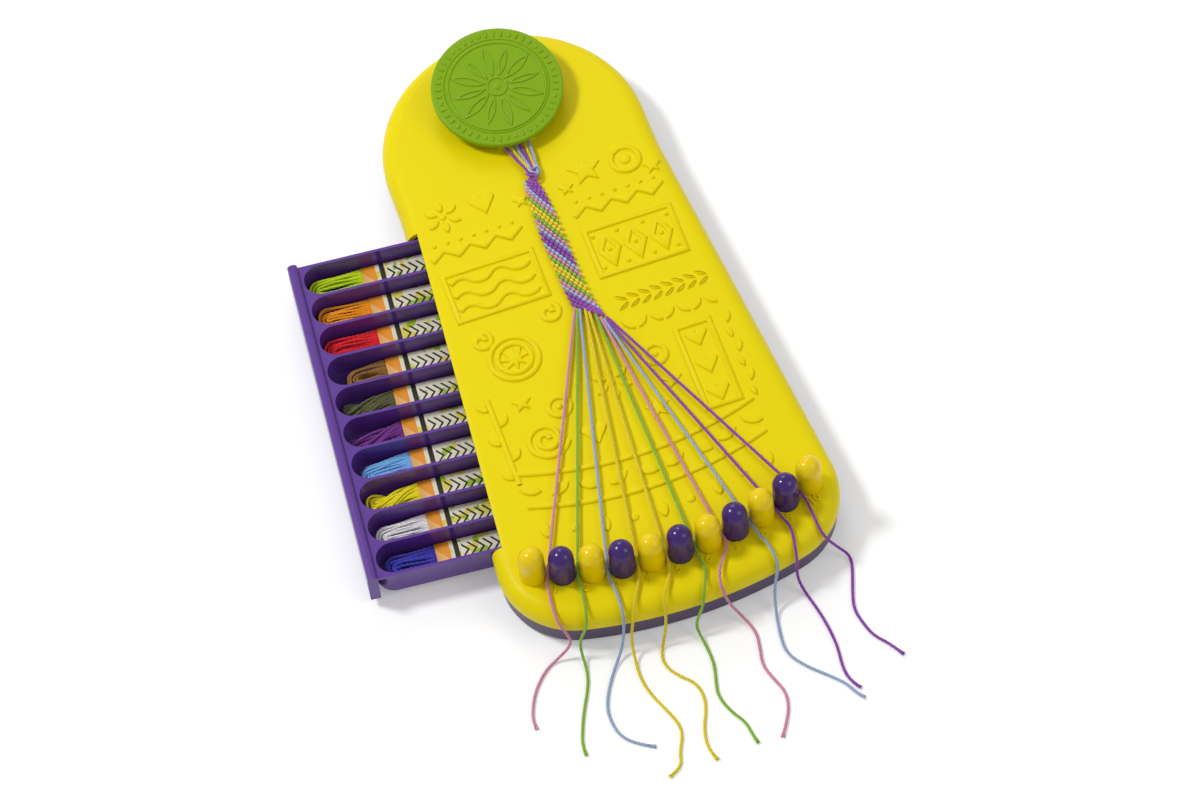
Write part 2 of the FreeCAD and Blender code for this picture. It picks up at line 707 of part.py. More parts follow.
def longMotifs(sketch, line):
    for x, y in zigzags:
        edge = [(modules(x + 2 * k), modules(y + 1.5 * (k % 2))) for k in range(8)]
        polygon(sketch, [(a, b - 1.3 * line) for a, b in edge] + edge[::-1])
    for x, y in waves:
        edge = [(modules(x + 3 * k), modules(y)) for k in range(5)]
        half, bend = 0.5 * line, 2 * module
        arcs = {k: bend if k % 2 else -bend for k in range(4)}
        arcs.update({8 - k: -bend if k % 2 else bend for k in range(4)})
        polygon(sketch, [(a, b - half) for a, b in edge] + [(a, b + half) for a, b in edge[::-1]], arcs)
    x, low, high = stem
    rectangle(sketch, modules(x) - 0.5 * line, modules(x) + 0.5 * line, modules(low), modules(high))
    for k, y in enumerate(range(low + 1, high - 1, leafPitch)):
        side = 1 if k % 2 else -1
        lens(sketch, (modules(x + 0.45 * side), modules(y)),
             (modules(x + 1.9 * side), modules(y + 1.7)), 1.4 * module)


def garlands(sketch, line):
    """Two ribs ahead of the pegs with a row of leaves between them, and a row of leaves and dots."""
    turn = math.radians(size["rib_turn"])
    for ahead in (cell("upper_rib"), cell("lower_rib")):
        centre = cell("peg_arc") - (frontReach - cell("peg_inset")) + ahead
        outside, inside = cell("peg_arc") + 0.5 * line, cell("peg_arc") - 0.5 * line
        ends = [(outside, -1), (outside, 1), (inside, 1), (inside, -1)]
        polygon(sketch, [(side * math.sin(turn) * r, centre - math.cos(turn) * r) for r, side in ends],
                {0: outside, 2: -inside})
    between = 0.5 * (size["upper_rib"] + size["lower_rib"])
    for k in range(2, 11):
        tilt = 1 if k % 2 else -1
        p = onPegArc(k) + Vector(0, between)
        lens(sketch, (p.x - 4.4, p.y - 2 * tilt), (p.x + 4.4, p.y + 2 * tilt), 6)
        p = onPegArc(k) + Vector(0, size["garland_row"])
        if k % 2:
            circles(sketch, [p], 1.9)
        else:
            lens(sketch, (p.x, p.y - 4.2), (p.x, p.y + 4.2), 5)


def decorate(body):
    for name, draw in (("frameLines", frameLines), ("roundMotifs", roundMotifs), ("longMotifs", longMotifs),
                       ("pointedMotifs", pointedMotifs), ("garlands", garlands)):
        sketch = newSketch(body, name, lift=cell("board_top"))
        draw(sketch, cell("relief_line"))
        grow(body, "Pad", sketch, cell("relief_height"))


def base():
    """Drafted bottom tray: posts, locating lip, drawer bay with slide ribs and guide walls."""
    body = newBody("base")
    parting, foot = cell("parting"), cell("foot_height")
    lower = newSketch(body, "baseFoot", lift=foot)
    boardOutline(lower, cell("base_step") + cell("base_draft"))
    upper = newSketch(body, "baseEdge", lift=parting)
    boardOutline(upper, cell("base_step"))
    hull = body.newObject("PartDesign::AdditiveLoft", "baseHull")
    hull.Profile = lower
    hull.Sections = [upper]
    hull.Ruled = True
    doc.recompute()
    soften(body, hull, edgesWhere(hull, level(foot.value)), cell("base_round"), "baseRound")

    lip = newSketch(body, "baseLip", lift=parting)
    boardOutline(lip, cell("cover_wall") + cell("fit_gap"))
    grow(body, "Pad", lip, cell("lip_height"))
    cavity = newSketch(body, "baseCavity", lift=floorTop)
    boardOutline(cavity, cell("base_step") + cell("base_wall"))
    grow(body, "Pocket", cavity, parting + cell("lip_height") - floorTop, reverse=True)

    posts = newSketch(body, "basePosts", lift=floorTop)
    circles(posts, caseScrews(), cell("post_radius"))
    grow(body, "Pad", posts, cell("post_top") - floorTop)
    clearance = newSketch(body, "postHoles", lift=foot)
    circles(clearance, caseScrews(), cell("screw_radius") + cell("screw_clear"))
    grow(body, "Pocket", clearance, cell("post_top") - foot, reverse=True)
    seats = newSketch(body, "screwSeats", lift=foot)
    circles(seats, caseScrews(), cell("screw_head") + cell("head_clear"))
    grow(body, "Pocket", seats, cell("seat") - foot, reverse=True)
    recesses = newSketch(body, "footRecesses", lift=foot)
    circles(recesses, feetPoints(), cell("foot_radius") + cell("foot_gap"))
    grow(body, "Pocket", recesses, cell("foot_recess"), reverse=True)

    ribs = newSketch(body, "slideRibs", lift=floorTop, place=closedDrawer)
    halfRib = 0.5 * cell("rib_width")
    for side in (-1, 1):
        middle = side * cell("rib_spread")
        rectangle(ribs, cell("notch_depth"), cell("guide_end"), middle - halfRib, middle + halfRib)
    grow(body, "Pad", ribs, cell("rib_height"))

    guides = newSketch(body, "drawerGuides", lift=floorTop, place=closedDrawer)
    outside = notchHalf + cell("guide_wall")
    throat = trayHalf + cell("tray_slack")
    stop = cell("guide_start") + cell("stop_block")
    for side in (-1, 1):
        polygon(guides, [(cell("guide_start"), side * throat), (stop, side * throat),
                         (stop, side * notchHalf), (cell("guide_end"), side * notchHalf),
                         (cell("guide_end"), side * outside), (cell("guide_start"), side * outside)])
    grow(body, "Pad", guides, cell("guide_height"))

    mouth = newSketch(body, "drawerMouth", lift=cell("drawer_bottom") - cell("fit_gap"), place=closedDrawer)
    rectangle(mouth, -cell("rim_roll"), cell("guide_start"), -notchHalf, notchHalf)
    grow(body, "Pocket", mouth, cell("board_top") - cell("drawer_bottom"), reverse=True)
    return body


def feet():
    """Rubber feet in their recesses."""
    body = newBody("feet")
    body.AllowCompound = True
    pads = newSketch(body, "footPads")
    circles(pads, feetPoints(), cell("foot_radius"))
    grow(body, "Pad", pads, cell("foot_height") + cell("foot_recess"))
    soften(body, body.Tip, edgesWhere(body.Tip, level(0)), cell("foot_round"), "footEdge")
    return body


def screws(label, points, seat, downwards):
    """Pan-head screws: a head below (or above) its seat and a plain shank."""
    body = newBody(label)
    body.AllowCompound = True
    heads = newSketch(body, f"{label}_heads", lift=seat)
    circles(heads, points, cell("screw_head"))
    grow(body, "Pad", heads, cell("screw_head_thick"), reverse=not downwards)
    shanks = newSketch(body, f"{label}_shanks", lift=seat)
    circles(shanks, points, cell("screw_radius"))
    reach = cell("bracket_plate") + cell("bracket_boss") if downwards else cell("screw_length")
    grow(body, "Pad", shanks, reach, reverse=downwards)
    return body


# ---------------------------------------------------------------- pegs
def peg(k):
    """Soft domed peg with a barbed stem pushed through the cover."""
    body = newBody(pegNames[k - 1], Placement(onPegArc(k), Rotation()))
    half = newSketch(body, f"pegHalf{k:02d}", "XZ_Plane")
    drop = cell("cover_plate") + cell("stem_gap")
    radius, crown, foot = cell("peg_radius"), cell("peg_crown"), cell("peg_foot")
    stem = cell("stem_radius")
    corners = [(0, -drop - cell("stem_barb_drop")), (cell("stem_tip"), -drop - cell("stem_barb_drop")),
               (stem + cell("stem_barb"), -drop), (stem, -drop), (stem, 0), (radius - foot, 0),
               (radius, foot), (crown, cell("peg_height") - crown), (0, cell("peg_height"))]
    polygon(half, corners, {5: foot, 7: crown})
    revolve(body, half)
    return body


# ---------------------------------------------------------------- clip
pinPlace = Placement(Vector(0, size["pin_ahead"], size["pin_height"]), Rotation())
bracketPlace = Placement(Vector(0, size["pin_ahead"], size["board_top"]), Rotation())
discPlace = pinPlace.multiply(Placement(Vector(), Rotation(Vector(1, 0, 0), size["disc_tilt"])))
pinAbove = cell("pin_height") - cell("board_top")


def bracketScrewPoints():
    y = size["pin_ahead"] + size["bracket_screw_ahead"]
    return [Vector(side * size["bracket_screw_across"], y) for side in (-1, 1)]


def clipBracket():
    """Plate on the cover with two ears for the hinge pin."""
    body = newBody("clip_bracket", bracketPlace)
    halfWidth = 0.5 * cell("bracket_width")
    plate = newSketch(body, "bracketPlate")
    rectangle(plate, -halfWidth, halfWidth, -cell("bracket_back"), cell("bracket_front"))
    grow(body, "Pad", plate, cell("bracket_plate"))
    radius = cell("ear_radius")
    earFoot = radius + cell("ear_spread")
    for side, tag in ((1, "Right"), (-1, "Left")):
        ear = newSketch(body, f"ear{tag}", "YZ_Plane", lift=side * cell("ear_inside"))
        polygon(ear, [(-earFoot, 0), (earFoot, 0), (radius, pinAbove), (-radius, pinAbove)], {2: radius})
        grow(body, "Pad", ear, cell("ear_thick"), reverse=side < 0)
    bore = newSketch(body, "earBore", "YZ_Plane")
    index = bore.addGeometry(Part.Circle(Vector(0, pinAbove.value), up, size["pin_radius"]))
    pin(bore, index, 3, 0, pinAbove)
    bind(bore, "Radius", (index,), cell("pin_radius") + 0.5 * cell("pin_clear"))
    grow(body, "Pocket", bore, 2 * cell("ear_inside") + 2 * cell("ear_thick") + 1, middle=True)
    holes = newSketch(body, "bracketHoles", lift=cell("bracket_plate"))
    points = [Vector(side * size["bracket_screw_across"], size["bracket_screw_ahead"]) for side in (-1, 1)]
    circles(holes, points, cell("screw_radius") + cell("screw_clear"))
    grow(body, "Pocket", holes, cell("bracket_plate"))
    return body


def clipPin():
    """Hinge pin with a small head past each lug."""
    body = newBody("clip_pin", pinPlace)
    half = newSketch(body, "pinHalf")
    end = cell("lug_inside") + cell("lug_thick") + cell("pin_clear")
    head = end + cell("pin_head_thick")
    rod, cap = cell("pin_radius"), cell("pin_head")
    polygon(half, [(-head, 0), (head, 0), (head, cap), (end, cap), (end, rod),
                   (-end, rod), (-end, cap), (-head, cap)])
    revolve(body, half, "H_Axis")
    return body


def clipSpring():
    """Torsion spring round the pin; one leg lies on the bracket, the other lifts the disc."""
    radius, pitch, leg = size["spring_radius"], size["spring_pitch"], size["spring_leg"]
    rest, lift = math.radians(size["spring_rest"]), math.radians(size["spring_lift"])
    wound = 2 * math.pi * size["spring_turns"] - rest - lift
    corners = round(wound / math.radians(45))
    step = wound / corners

    def onCoil(angle, reach):
        height = pitch * (angle - wound / 2) / (2 * math.pi)
        return Vector(reach * math.cos(rest + angle), reach * math.sin(rest + angle), height)

    def legEnd(angle, sign):
        turn = rest + angle
        return onCoil(angle, radius) + Vector(-math.sin(turn), math.cos(turn)) * (sign * leg)

    ring = [onCoil((k + 0.5) * step, radius / math.cos(step / 2)) for k in range(corners)]
    feature = tube("clip_spring", [legEnd(0, -1), *ring, legEnd(wound, 1)], size["spring_wire"], 0.49)
    # the coil's axis turns from Z to X, and both legs point ahead
    toX = Rotation(up, 180).multiply(Rotation(Vector(0, 1, 0), 90))
    feature.Placement = pinPlace.multiply(Placement(Vector(), toX))
    return feature


def clipDisc():
    """Round press plate with a skirt, two hinge lugs and the jaw that holds the threads."""
    body = newBody("clip_disc", discPlace.multiply(Placement(Vector(0, size["disc_ahead"], 0), Rotation())))
    radius, above, edge = cell("disc_radius"), cell("disc_above"), cell("disc_round")
    under = above - cell("disc_plate")
    skirt = above - cell("disc_thick")
    groove, depth = cell("groove_radius"), cell("groove")
    half = newSketch(body, "discHalf", "XZ_Plane")
    polygon(half, [(0, under), (radius - cell("disc_skirt"), under), (radius - cell("disc_skirt"), skirt),
                   (radius - edge, skirt), (radius, skirt + edge), (radius, above - edge),
                   (radius - edge, above), (groove + depth, above), (groove, above - depth),
                   (groove - depth, above), (0, above)], {3: edge, 5: edge})
    revolve(body, half)
    hinge = -cell("disc_ahead")
    lugR = cell("lug_radius")
    lugRoot = lugR + cell("lug_spread")
    for side, tag in ((1, "Right"), (-1, "Left")):
        lug = newSketch(body, f"lug{tag}", "YZ_Plane", lift=side * cell("lug_inside"))
        polygon(lug, [(hinge - lugR, 0), (hinge + lugR, 0), (hinge + lugRoot, under),
                      (hinge - lugRoot, under)], {0: lugR})
        grow(body, "Pad", lug, cell("lug_thick"), reverse=side < 0)
    bore = newSketch(body, "lugBore", "YZ_Plane")
    index = bore.addGeometry(Part.Circle(Vector(hinge.value, 0), up, size["pin_radius"]))
    pin(bore, index, 3, hinge, 0)
    bind(bore, "Radius", (index,), cell("pin_radius") + cell("pin_clear"))
    grow(body, "Pocket", bore, 2 * cell("lug_inside") + 2 * cell("lug_thick") + 1, middle=True)
    jaw = newSketch(body, "jaw", "YZ_Plane")
    middle, tip, half = hinge - cell("jaw_reach"), cell("jaw_tip"), 0.5 * cell("jaw_thick")
    polygon(jaw, [(middle - half, tip + half), (middle + half, tip + half), (middle + half, under),
                  (middle - half, under)], {0: half})
    grow(body, "Pad", jaw, cell("jaw_width"), middle=True)
    return body


def gripPad():
    """Rubber pad under the jaw."""
    reach = size["pin_ahead"] - size["jaw_reach"]
    body = newBody("grip_pad", Placement(Vector(0, reach, size["board_top"]), Rotation()))
    halfWidth, halfDepth = 0.5 * cell("pad_width"), 0.5 * cell("pad_depth")
    outline = newSketch(body, "padOutline")
    rectangle(outline, -halfWidth, halfWidth, -halfDepth, halfDepth)
    grow(body, "Pad", outline, cell("pad_height"))
    soften(body, body.Tip, edgesWhere(body.Tip, level(size["pad_height"])), cell("pad_round"), "padEdge")
    return body


# ---------------------------------------------------------------- drawer
def drawerTray():
    """Tray of ten stadium-ended compartments under one flange."""
    body = newBody("drawer_tray", restDrawer)
    front, back = cell("panel_thick"), trayDepth
    rim, bottom = cell("tray_rim"), cell("drawer_bottom")
    walls = newSketch(body, "trayWalls", lift=bottom)
    side = trayHalf - cell("rim_over")
    rectangle(walls, front, back - cell("rim_over"), -side, side)
    block = grow(body, "Pad", walls, rim - bottom)
    rounded = soften(body, block, edgesWhere(block, upright), cell("tray_corner"), "trayCorners")
    soften(body, rounded, edgesWhere(rounded, level(bottom.value)), cell("tray_foot_round"), "trayFoot")
    flange = newSketch(body, "trayFlange", lift=rim)
    rectangle(flange, front, back, -trayHalf, trayHalf)
    plate = grow(body, "Pad", flange, cell("rim_thick"), reverse=True)
    ends = edgesWhere(plate, lambda box: upright(box) and abs(box.XMin - back.value) < 1e-4)
    soften(body, plate, ends, cell("tray_corner"), "flangeCorners")

    pocket = newSketch(body, "compartment", lift=rim)
    halfWidth = 0.5 * compartmentWidth
    row = -4.5 * cell("compartment_pitch")
    start, end = compartmentStart + halfWidth, compartmentEnd - halfWidth
    polygon(pocket, [(start, row - halfWidth), (end, row - halfWidth), (end, row + halfWidth),
                     (start, row + halfWidth)], {1: halfWidth, 3: halfWidth})
    hollow = grow(body, "Pocket", pocket, rim - trayFloorTop)
    pattern = body.newObject("PartDesign::LinearPattern", "compartments")
    pattern.Originals = [hollow]
    pattern.Direction = (pocket, ["V_Axis"])
    pattern.setExpression("Length", (9 * cell("compartment_pitch")).text)
    pattern.Occurrences = 10
    body.Tip = pattern
    doc.recompute()

    nibs = newSketch(body, "stopNibs", lift=bottom + cell("tray_foot_round"))
    stop = back - cell("stop_from_back")
    for edge in (-1, 1):
        inside = edge * (side - cell("stop_root"))
        outside = edge * (trayHalf + cell("stop_reach"))
        rectangle(nibs, stop, stop + cell("stop_length"), inside, outside)
    grow(body, "Pad", nibs, cell("stop_length"))
    return body


def drawerFront():
    """Front panel with a rolled top edge."""
    body = newBody("drawer_front", restDrawer)
    profile = newSketch(body, "panelProfile", "XZ_Plane")
    thick, top, bottom = cell("panel_thick"), cell("panel_top"), cell("drawer_bottom")
    roll, toe = cell("panel_roll"), cell("panel_toe")
    polygon(profile, [(toe, bottom), (thick, bottom), (thick, top - roll), (thick - roll, top),
                      (roll, top), (0, top - roll), (0, bottom + toe)],
            {2: roll, 4: roll, 6: toe})
    grow(body, "Pad", profile, 2 * panelHalf, middle=True)
    return body


def skein(k):
    """Soft folded hank, flattened by its band."""
    full = (size["skein_width"], size["skein_height"])
    waist = (size["skein_width"] - size["skein_pinch"], size["skein_waist"])
    bandStart, bandEnd = size["band_start"], size["band_start"] + size["band_length"]
    length = size["skein_length"]
    # distance from the loop end, width and height, and the share of both that is filled
    stations = [(0, full, 0.4), (3, full, 0.85), (9, full, 1), (16, full, 0.97),
                (bandStart - 1, waist, 1), (bandEnd + 1, waist, 1), (length - 10, full, 0.97),
                (length - 3, full, 0.8), (length, full, 0.4)]
    name = f"skein_{k:02d}_{skeinNames[k - 1]}"
    loft = doc.addObject("Part::Loft", name)
    loft.Label = name
    sections = []
    for index, (x, (width, height), share) in enumerate(stations):
        ellipse = doc.addObject("Part::Ellipse", f"hank{k:02d}_{index}")
        ellipse.MajorRadius = width * share / 2
        ellipse.MinorRadius = height * share / 2
        ellipse.Placement = Placement(Vector(x, 0, 0), Rotation(Vector(0, 1, 0), up, Vector(1, 0, 0)))
        sections.append(ellipse)
    loft.Sections = sections
    loft.Solid = True
    loft.Ruled = True
    loft.Placement = restDrawer.multiply(Placement(skeinOrigin(k), Rotation()))
    return loft


def skeinOrigin(k):
    """The loop end of skein k, in the drawer's frame. The first lies next to the head."""
    x = compartmentStart.value + size["skein_start"]
    y = (5.5 - k) * size["compartment_pitch"]
    z = trayFloorTop.value + size["skein_gap"] + size["skein_height"] / 2
    return Vector(x, y, z)


def skeinBands():
    """Paper bands round the skeins."""
    first = skeinOrigin(10)
    body = newBody("skein_bands", restDrawer.multiply(Placement(first, Rotation())))
    body.AllowCompound = True
    ring = newSketch(body, "bandRing", "YZ_Plane", lift=cell("band_start"))
    for k in range(10):
        for shrink in (0, 1):
            halfHeight = 0.5 * cell("band_height") - shrink * cell("paper")
            flat = 0.5 * cell("band_width") - 0.5 * cell("band_height")
            middle = k * cell("compartment_pitch")
            polygon(ring, [(middle - flat, -halfHeight), (middle + flat, -halfHeight),
                           (middle + flat, halfHeight), (middle - flat, halfHeight)],
                    {1: halfHeight, 3: halfHeight})
    grow(body, "Pad", ring, cell("band_length"))
    return body


# ---------------------------------------------------------------- bracelet and threads
def bracelet():
    """Woven strip from its knot to the slanting edge where the threads leave."""
    body = newBody("bracelet")
    outline = newSketch(body, "wovenEdge", lift=cell("board_top") + cell("woven_above"))
    polygon(outline, wovenOutline)
    strip = grow(body, "Pad", outline, cell("woven_thick"))
    flat = edgesWhere(strip, lambda box: box.ZLength < 1e-4)
    soften(body, strip, flat, cell("woven_round"), "wovenEdges")
    return body


def ellipsoid(label, centre, across, along_, height):
    solid = doc.addObject("Part::Ellipsoid", label)
    solid.Label = label
    solid.setExpression("Radius1", height)
    solid.setExpression("Radius2", across)
    solid.setExpression("Radius3", along_)
    solid.Angle1, solid.Angle2, solid.Angle3 = -90, 90, 360
    solid.Placement = Placement(centre, Rotation())
    return solid


def braceletKnot():
    """Overhand knot at the head of the strip."""
    level = size["board_top"] + size["knot_above"] + size["knot_height"]
    centre = Vector(size["knot_right"], size["knot_ahead"], level)
    return ellipsoid("bracelet_knot", centre, "Sizes.knot_across", "Sizes.knot_along", "Sizes.knot_height")


def braceletTails():
    """Six strands from the knot to the clip, held on the grip pad."""
    group = doc.addObject("Part::Compound", "bracelet_tails")
    group.Label = "bracelet_tails"
    strands = []
    top = size["board_top"]
    padTop = top + size["pad_height"] + size["thread_radius"] + size["pin_clear"]
    jaw = size["pin_ahead"] - size["jaw_reach"]
    for k in range(6):
        spread = (k - 2.5) * size["tail_pitch"]
        start = Vector(size["knot_right"] + spread, size["knot_ahead"] + size["tail_root"],
                       top + size["tail_lift"])
        end = Vector(spread * size["tail_fan"] - size["tail_left"], jaw + size["tail_past_jaw"], padTop)
        strand = doc.addObject("Part::Cylinder", f"tail_{k + 1}")
        strand.setExpression("Radius", "Sizes.thread_radius")
        strand.Height = (end - start).Length
        strand.Placement = Placement(start, Rotation(up, end - start))
        strands.append(strand)
    group.Links = strands
    return group


def tube(label, points, radius, trimShare):
    """A plain tube along straight runs joined by tangent arcs. Each arc takes this share of the
    shorter of its two runs."""
    edges, at, tightest = [], points[0], math.inf
    for before, point, after in zip(points, points[1:], points[2:]):
        back, ahead = (before - point), (after - point)
        shorter = min(back.Length, ahead.Length)
        back.normalize()
        ahead.normalize()
        turn = math.pi - back.getAngle(ahead)
        trim = trimShare * shorter
        bend = trim / math.tan(turn / 2)
        tightest = min(tightest, bend)
        inside = (back + ahead).normalize()
        middle = point + inside * (bend / math.cos(turn / 2) - bend)
        edges.append(Part.LineSegment(at, point + back * trim).toShape())
        at = point + ahead * trim
        edges.append(Part.Arc(point + back * trim, middle, at).toShape())
    edges.append(Part.LineSegment(at, points[-1]).toShape())
    path = Part.Wire(edges)
    section = Part.Wire(Part.makeCircle(radius, points[0], points[1] - points[0]))
    solid = path.makePipeShell([section], True, True)
    share = solid.Volume / (math.pi * radius ** 2 * path.Length)
    print(f"{label}: length {path.Length:.1f}, tightest bend {tightest:.1f}, volume share {share:.4f}")
    feature = doc.addObject("Part::Feature", label)
    feature.Label = label
    feature.Shape = solid
    return feature


# ---------------------------------------------------------------- whole board
def build():
    fillSheet()
    parts = [cover(), base(), feet(), screws("case_screws", caseScrews(), cell("seat"), False)]
    parts += [peg(k) for k in range(1, 12)]
    bracketSeat = cell("board_top") + cell("bracket_plate")
    parts += [clipBracket(), clipPin(), clipSpring(), clipDisc(), gripPad()]
    parts += [screws("bracket_screws", bracketScrewPoints(), bracketSeat, True)]
    parts += [drawerTray(), drawerFront()]
    parts += [skein(k) for k in range(1, 11)]
    parts += [skeinBands(), bracelet(), braceletKnot(), braceletTails()]
    for k, route in enumerate(threadRoutes, start=1):
        parts.append(tube(f"thread_{k:02d}", [Vector(*p) for p in route], size["thread_radius"], 0.45))
    doc.recompute()
    return parts


def check(parts):
    for item in doc.Objects:
        if "Invalid" in item.State or "Error" in item.State:
            raise RuntimeError(f"{item.Label} failed: {item.State}")
    for part in parts:
        if part.Shape.isNull() or not part.Shape.isValid() or not part.Shape.Solids:
            raise RuntimeError(f"{part.Label} has no valid solid")


def export(parts):
    os.makedirs("parts", exist_ok=True)
    for part in parts:
        part.Shape.exportStep(f"parts/{part.Label}.step")
        box = part.Shape.BoundBox
        print(f"{part.Label}: {len(part.Shape.Solids)} solids, {part.Shape.Volume:.1f} mm3, "
              f"x {box.XMin:.1f}..{box.XMax:.1f} y {box.YMin:.1f}..{box.YMax:.1f} "
              f"z {box.ZMin:.1f}..{box.ZMax:.1f}")


board = build()
check(board)
export(board)
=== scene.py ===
import json
import math
import random

import bmesh
import bpy
from mathutils import Matrix, Vector
from mathutils.noise import noise


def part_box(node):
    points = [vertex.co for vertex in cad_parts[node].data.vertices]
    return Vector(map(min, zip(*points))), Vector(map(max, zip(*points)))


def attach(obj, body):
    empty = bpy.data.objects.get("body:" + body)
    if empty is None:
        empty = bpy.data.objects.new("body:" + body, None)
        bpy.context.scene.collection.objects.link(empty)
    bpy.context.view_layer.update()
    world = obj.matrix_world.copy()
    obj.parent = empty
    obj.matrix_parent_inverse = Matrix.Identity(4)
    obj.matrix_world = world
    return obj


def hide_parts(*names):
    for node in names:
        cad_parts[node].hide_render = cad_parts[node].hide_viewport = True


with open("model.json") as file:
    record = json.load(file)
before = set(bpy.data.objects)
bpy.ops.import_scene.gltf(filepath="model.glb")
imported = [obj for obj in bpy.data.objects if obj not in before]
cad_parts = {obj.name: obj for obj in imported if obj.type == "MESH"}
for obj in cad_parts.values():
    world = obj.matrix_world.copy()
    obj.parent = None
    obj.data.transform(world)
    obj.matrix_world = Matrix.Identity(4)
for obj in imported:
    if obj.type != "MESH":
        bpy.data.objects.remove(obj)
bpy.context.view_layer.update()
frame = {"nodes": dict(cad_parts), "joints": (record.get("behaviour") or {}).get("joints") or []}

mm = 0.001
up = Vector((0, 0, 1))
joints = {joint["name"]: joint for joint in frame["joints"]}
collection = bpy.context.scene.collection


# shader maths is written as expressions on sockets
class Socket:
    def __init__(self, network, out):
        self.network = network
        self.out = out

    def maths(self, operation, second=0.0):
        return self.network.maths(operation, self, second)

    def beside(self, name):
        return Socket(self.network, self.out.node.outputs[name])

    def __add__(self, other):
        return self.maths("ADD", other)

    def __sub__(self, other):
        return self.maths("SUBTRACT", other)

    def __rsub__(self, other):
        return self.network.maths("SUBTRACT", other, self)

    def __mul__(self, other):
        return self.maths("MULTIPLY", other)

    def __gt__(self, other):
        return self.maths("GREATER_THAN", other)

    def __lt__(self, other):
        return self.maths("LESS_THAN", other)

    __radd__ = __add__
    __rmul__ = __mul__


# the nodes of a material or of the world
class Network:
    def __init__(self, tree):
        self.tree = tree

    def feed(self, socket, value):
        if isinstance(value, Socket):
            self.tree.links.new(value.out, socket)
        else:
            socket.default_value = value

    def node(self, kind, settings=None, sockets=None, output=0):
        made = self.tree.nodes.new(kind)
        for name, value in (settings or {}).items():
            setattr(made, name, value)
        for key, value in (sockets or {}).items():
            self.feed(made.inputs[key], value)
        return Socket(self, made.outputs[output])

    def maths(self, operation, first, second):
        return self.node("ShaderNodeMath", {"operation": operation}, {0: first, 1: second})

    def mix(self, share, first, second):
        return self.node("ShaderNodeMix", {"data_type": "RGBA"}, {0: share, 6: first, 7: second}, output=2)

    # 1 where the camera, a reflection or clear plastic sees it, and 0 where it only lights the object
    def seenShare(self):
        camera = self.node("ShaderNodeLightPath", output="Is Camera Ray")
        mirrored = camera.maths("MAXIMUM", camera.beside("Is Glossy Ray"))
        return mirrored.maths("MAXIMUM", camera.beside("Is Transmission Ray"))


class Finish(Network):
    def __init__(self, name, **surface):
        self.material = bpy.data.materials.new(name)
        self.material.use_nodes = True
        super().__init__(self.material.node_tree)
        self.shader = self.tree.nodes["Principled BSDF"]
        for key, value in surface.items():
            self.set(key.replace("_", " "), value)

    def place(self, turn=0.0, shift=(0, 0, 0)):
        where = self.node("ShaderNodeTexCoord", output="Object")
        return self.node("ShaderNodeMapping", {},
                         {"Vector": where, "Location": shift, "Rotation": (0, 0, turn)})

    def noise(self, scale, detail=2.0, rough=0.5):
        return self.node("ShaderNodeTexNoise", {},
                         {"Vector": self.place(), "Scale": scale, "Detail": detail, "Roughness": rough})

    def set(self, name, value):
        self.feed(self.shader.inputs[name], value)

    def bump(self, height, strength, distance=0.2 * mm):
        self.set("Normal", self.node("ShaderNodeBump", {},
                                     {"Height": height, "Strength": strength, "Distance": distance}))


def paint(red, green, blue):
    def linear(level):
        level /= 255
        return level / 12.92 if level <= 0.04045 else ((level + 0.055) / 1.055) ** 2.4
    return (linear(red), linear(green), linear(blue), 1.0)


def deeper(colour, share):
    return tuple(level * share for level in colour[:3]) + (1.0,)


# grain is the fine bump, cloud the spread of the colour and wear that of the roughness
def plastic(name, colour, rough, shine, coat=0.0, grain=0.04, cloud=0.1, wear=0.12):
    made = Finish(name, Roughness=rough, Coat_Roughness=0.12, Specular_IOR_Level=shine)
    flow = made.noise(18, 3.0)
    made.set("Base Color", made.mix(flow * cloud, colour, deeper(colour, 0.72)))
    made.set("Roughness", made.noise(420, 3.0) * wear + (rough - 0.5 * wear))
    made.set("Coat Weight", coat)
    made.bump(made.noise(2600), grain)
    return made.material


def flossFinish(name, colour, fuzz, grain=520):
    made = Finish(name, Roughness=0.82, Sheen_Weight=0.45, Sheen_Roughness=0.4,
                  Sheen_Tint=(1, 1, 1, 1), Specular_IOR_Level=0.25)
    shade = made.noise(grain, 3.0)
    made.set("Base Color", made.mix(shade * fuzz, colour, deeper(colour, 0.6)))
    made.bump(made.noise(5200, 3.0), 0.35)
    return made.material


def wovenFinish(name, colour):
    made = Finish(name, Roughness=0.85, Sheen_Weight=0.55, Sheen_Roughness=0.4, Specular_IOR_Level=0.25)
    made.set("Base Color", made.mix(made.noise(700, 3.0) * 0.25, colour, deeper(colour, 0.5)))
    plies = made.node("ShaderNodeTexWave", {"bands_direction": "X"},
                      {"Vector": made.place(turn=math.radians(-62)), "Scale": 1150.0, "Distortion": 1.2,
                       "Detail": 1.0, "Detail Scale": 2.0})
    made.bump(plies, 0.5)
    return made.material


def steel():
    made = Finish("plainSteel", Metallic=1.0, Base_Color=paint(190, 190, 194))
    made.set("Roughness", made.noise(900, 3.0) * 0.2 + 0.2)
    return made.material


def rubber():
    made = Finish("blackRubber", Base_Color=paint(28, 28, 28))
    made.set("Roughness", made.noise(300) * 0.15 + 0.7)
    made.bump(made.noise(1800), 0.2)
    return made.material


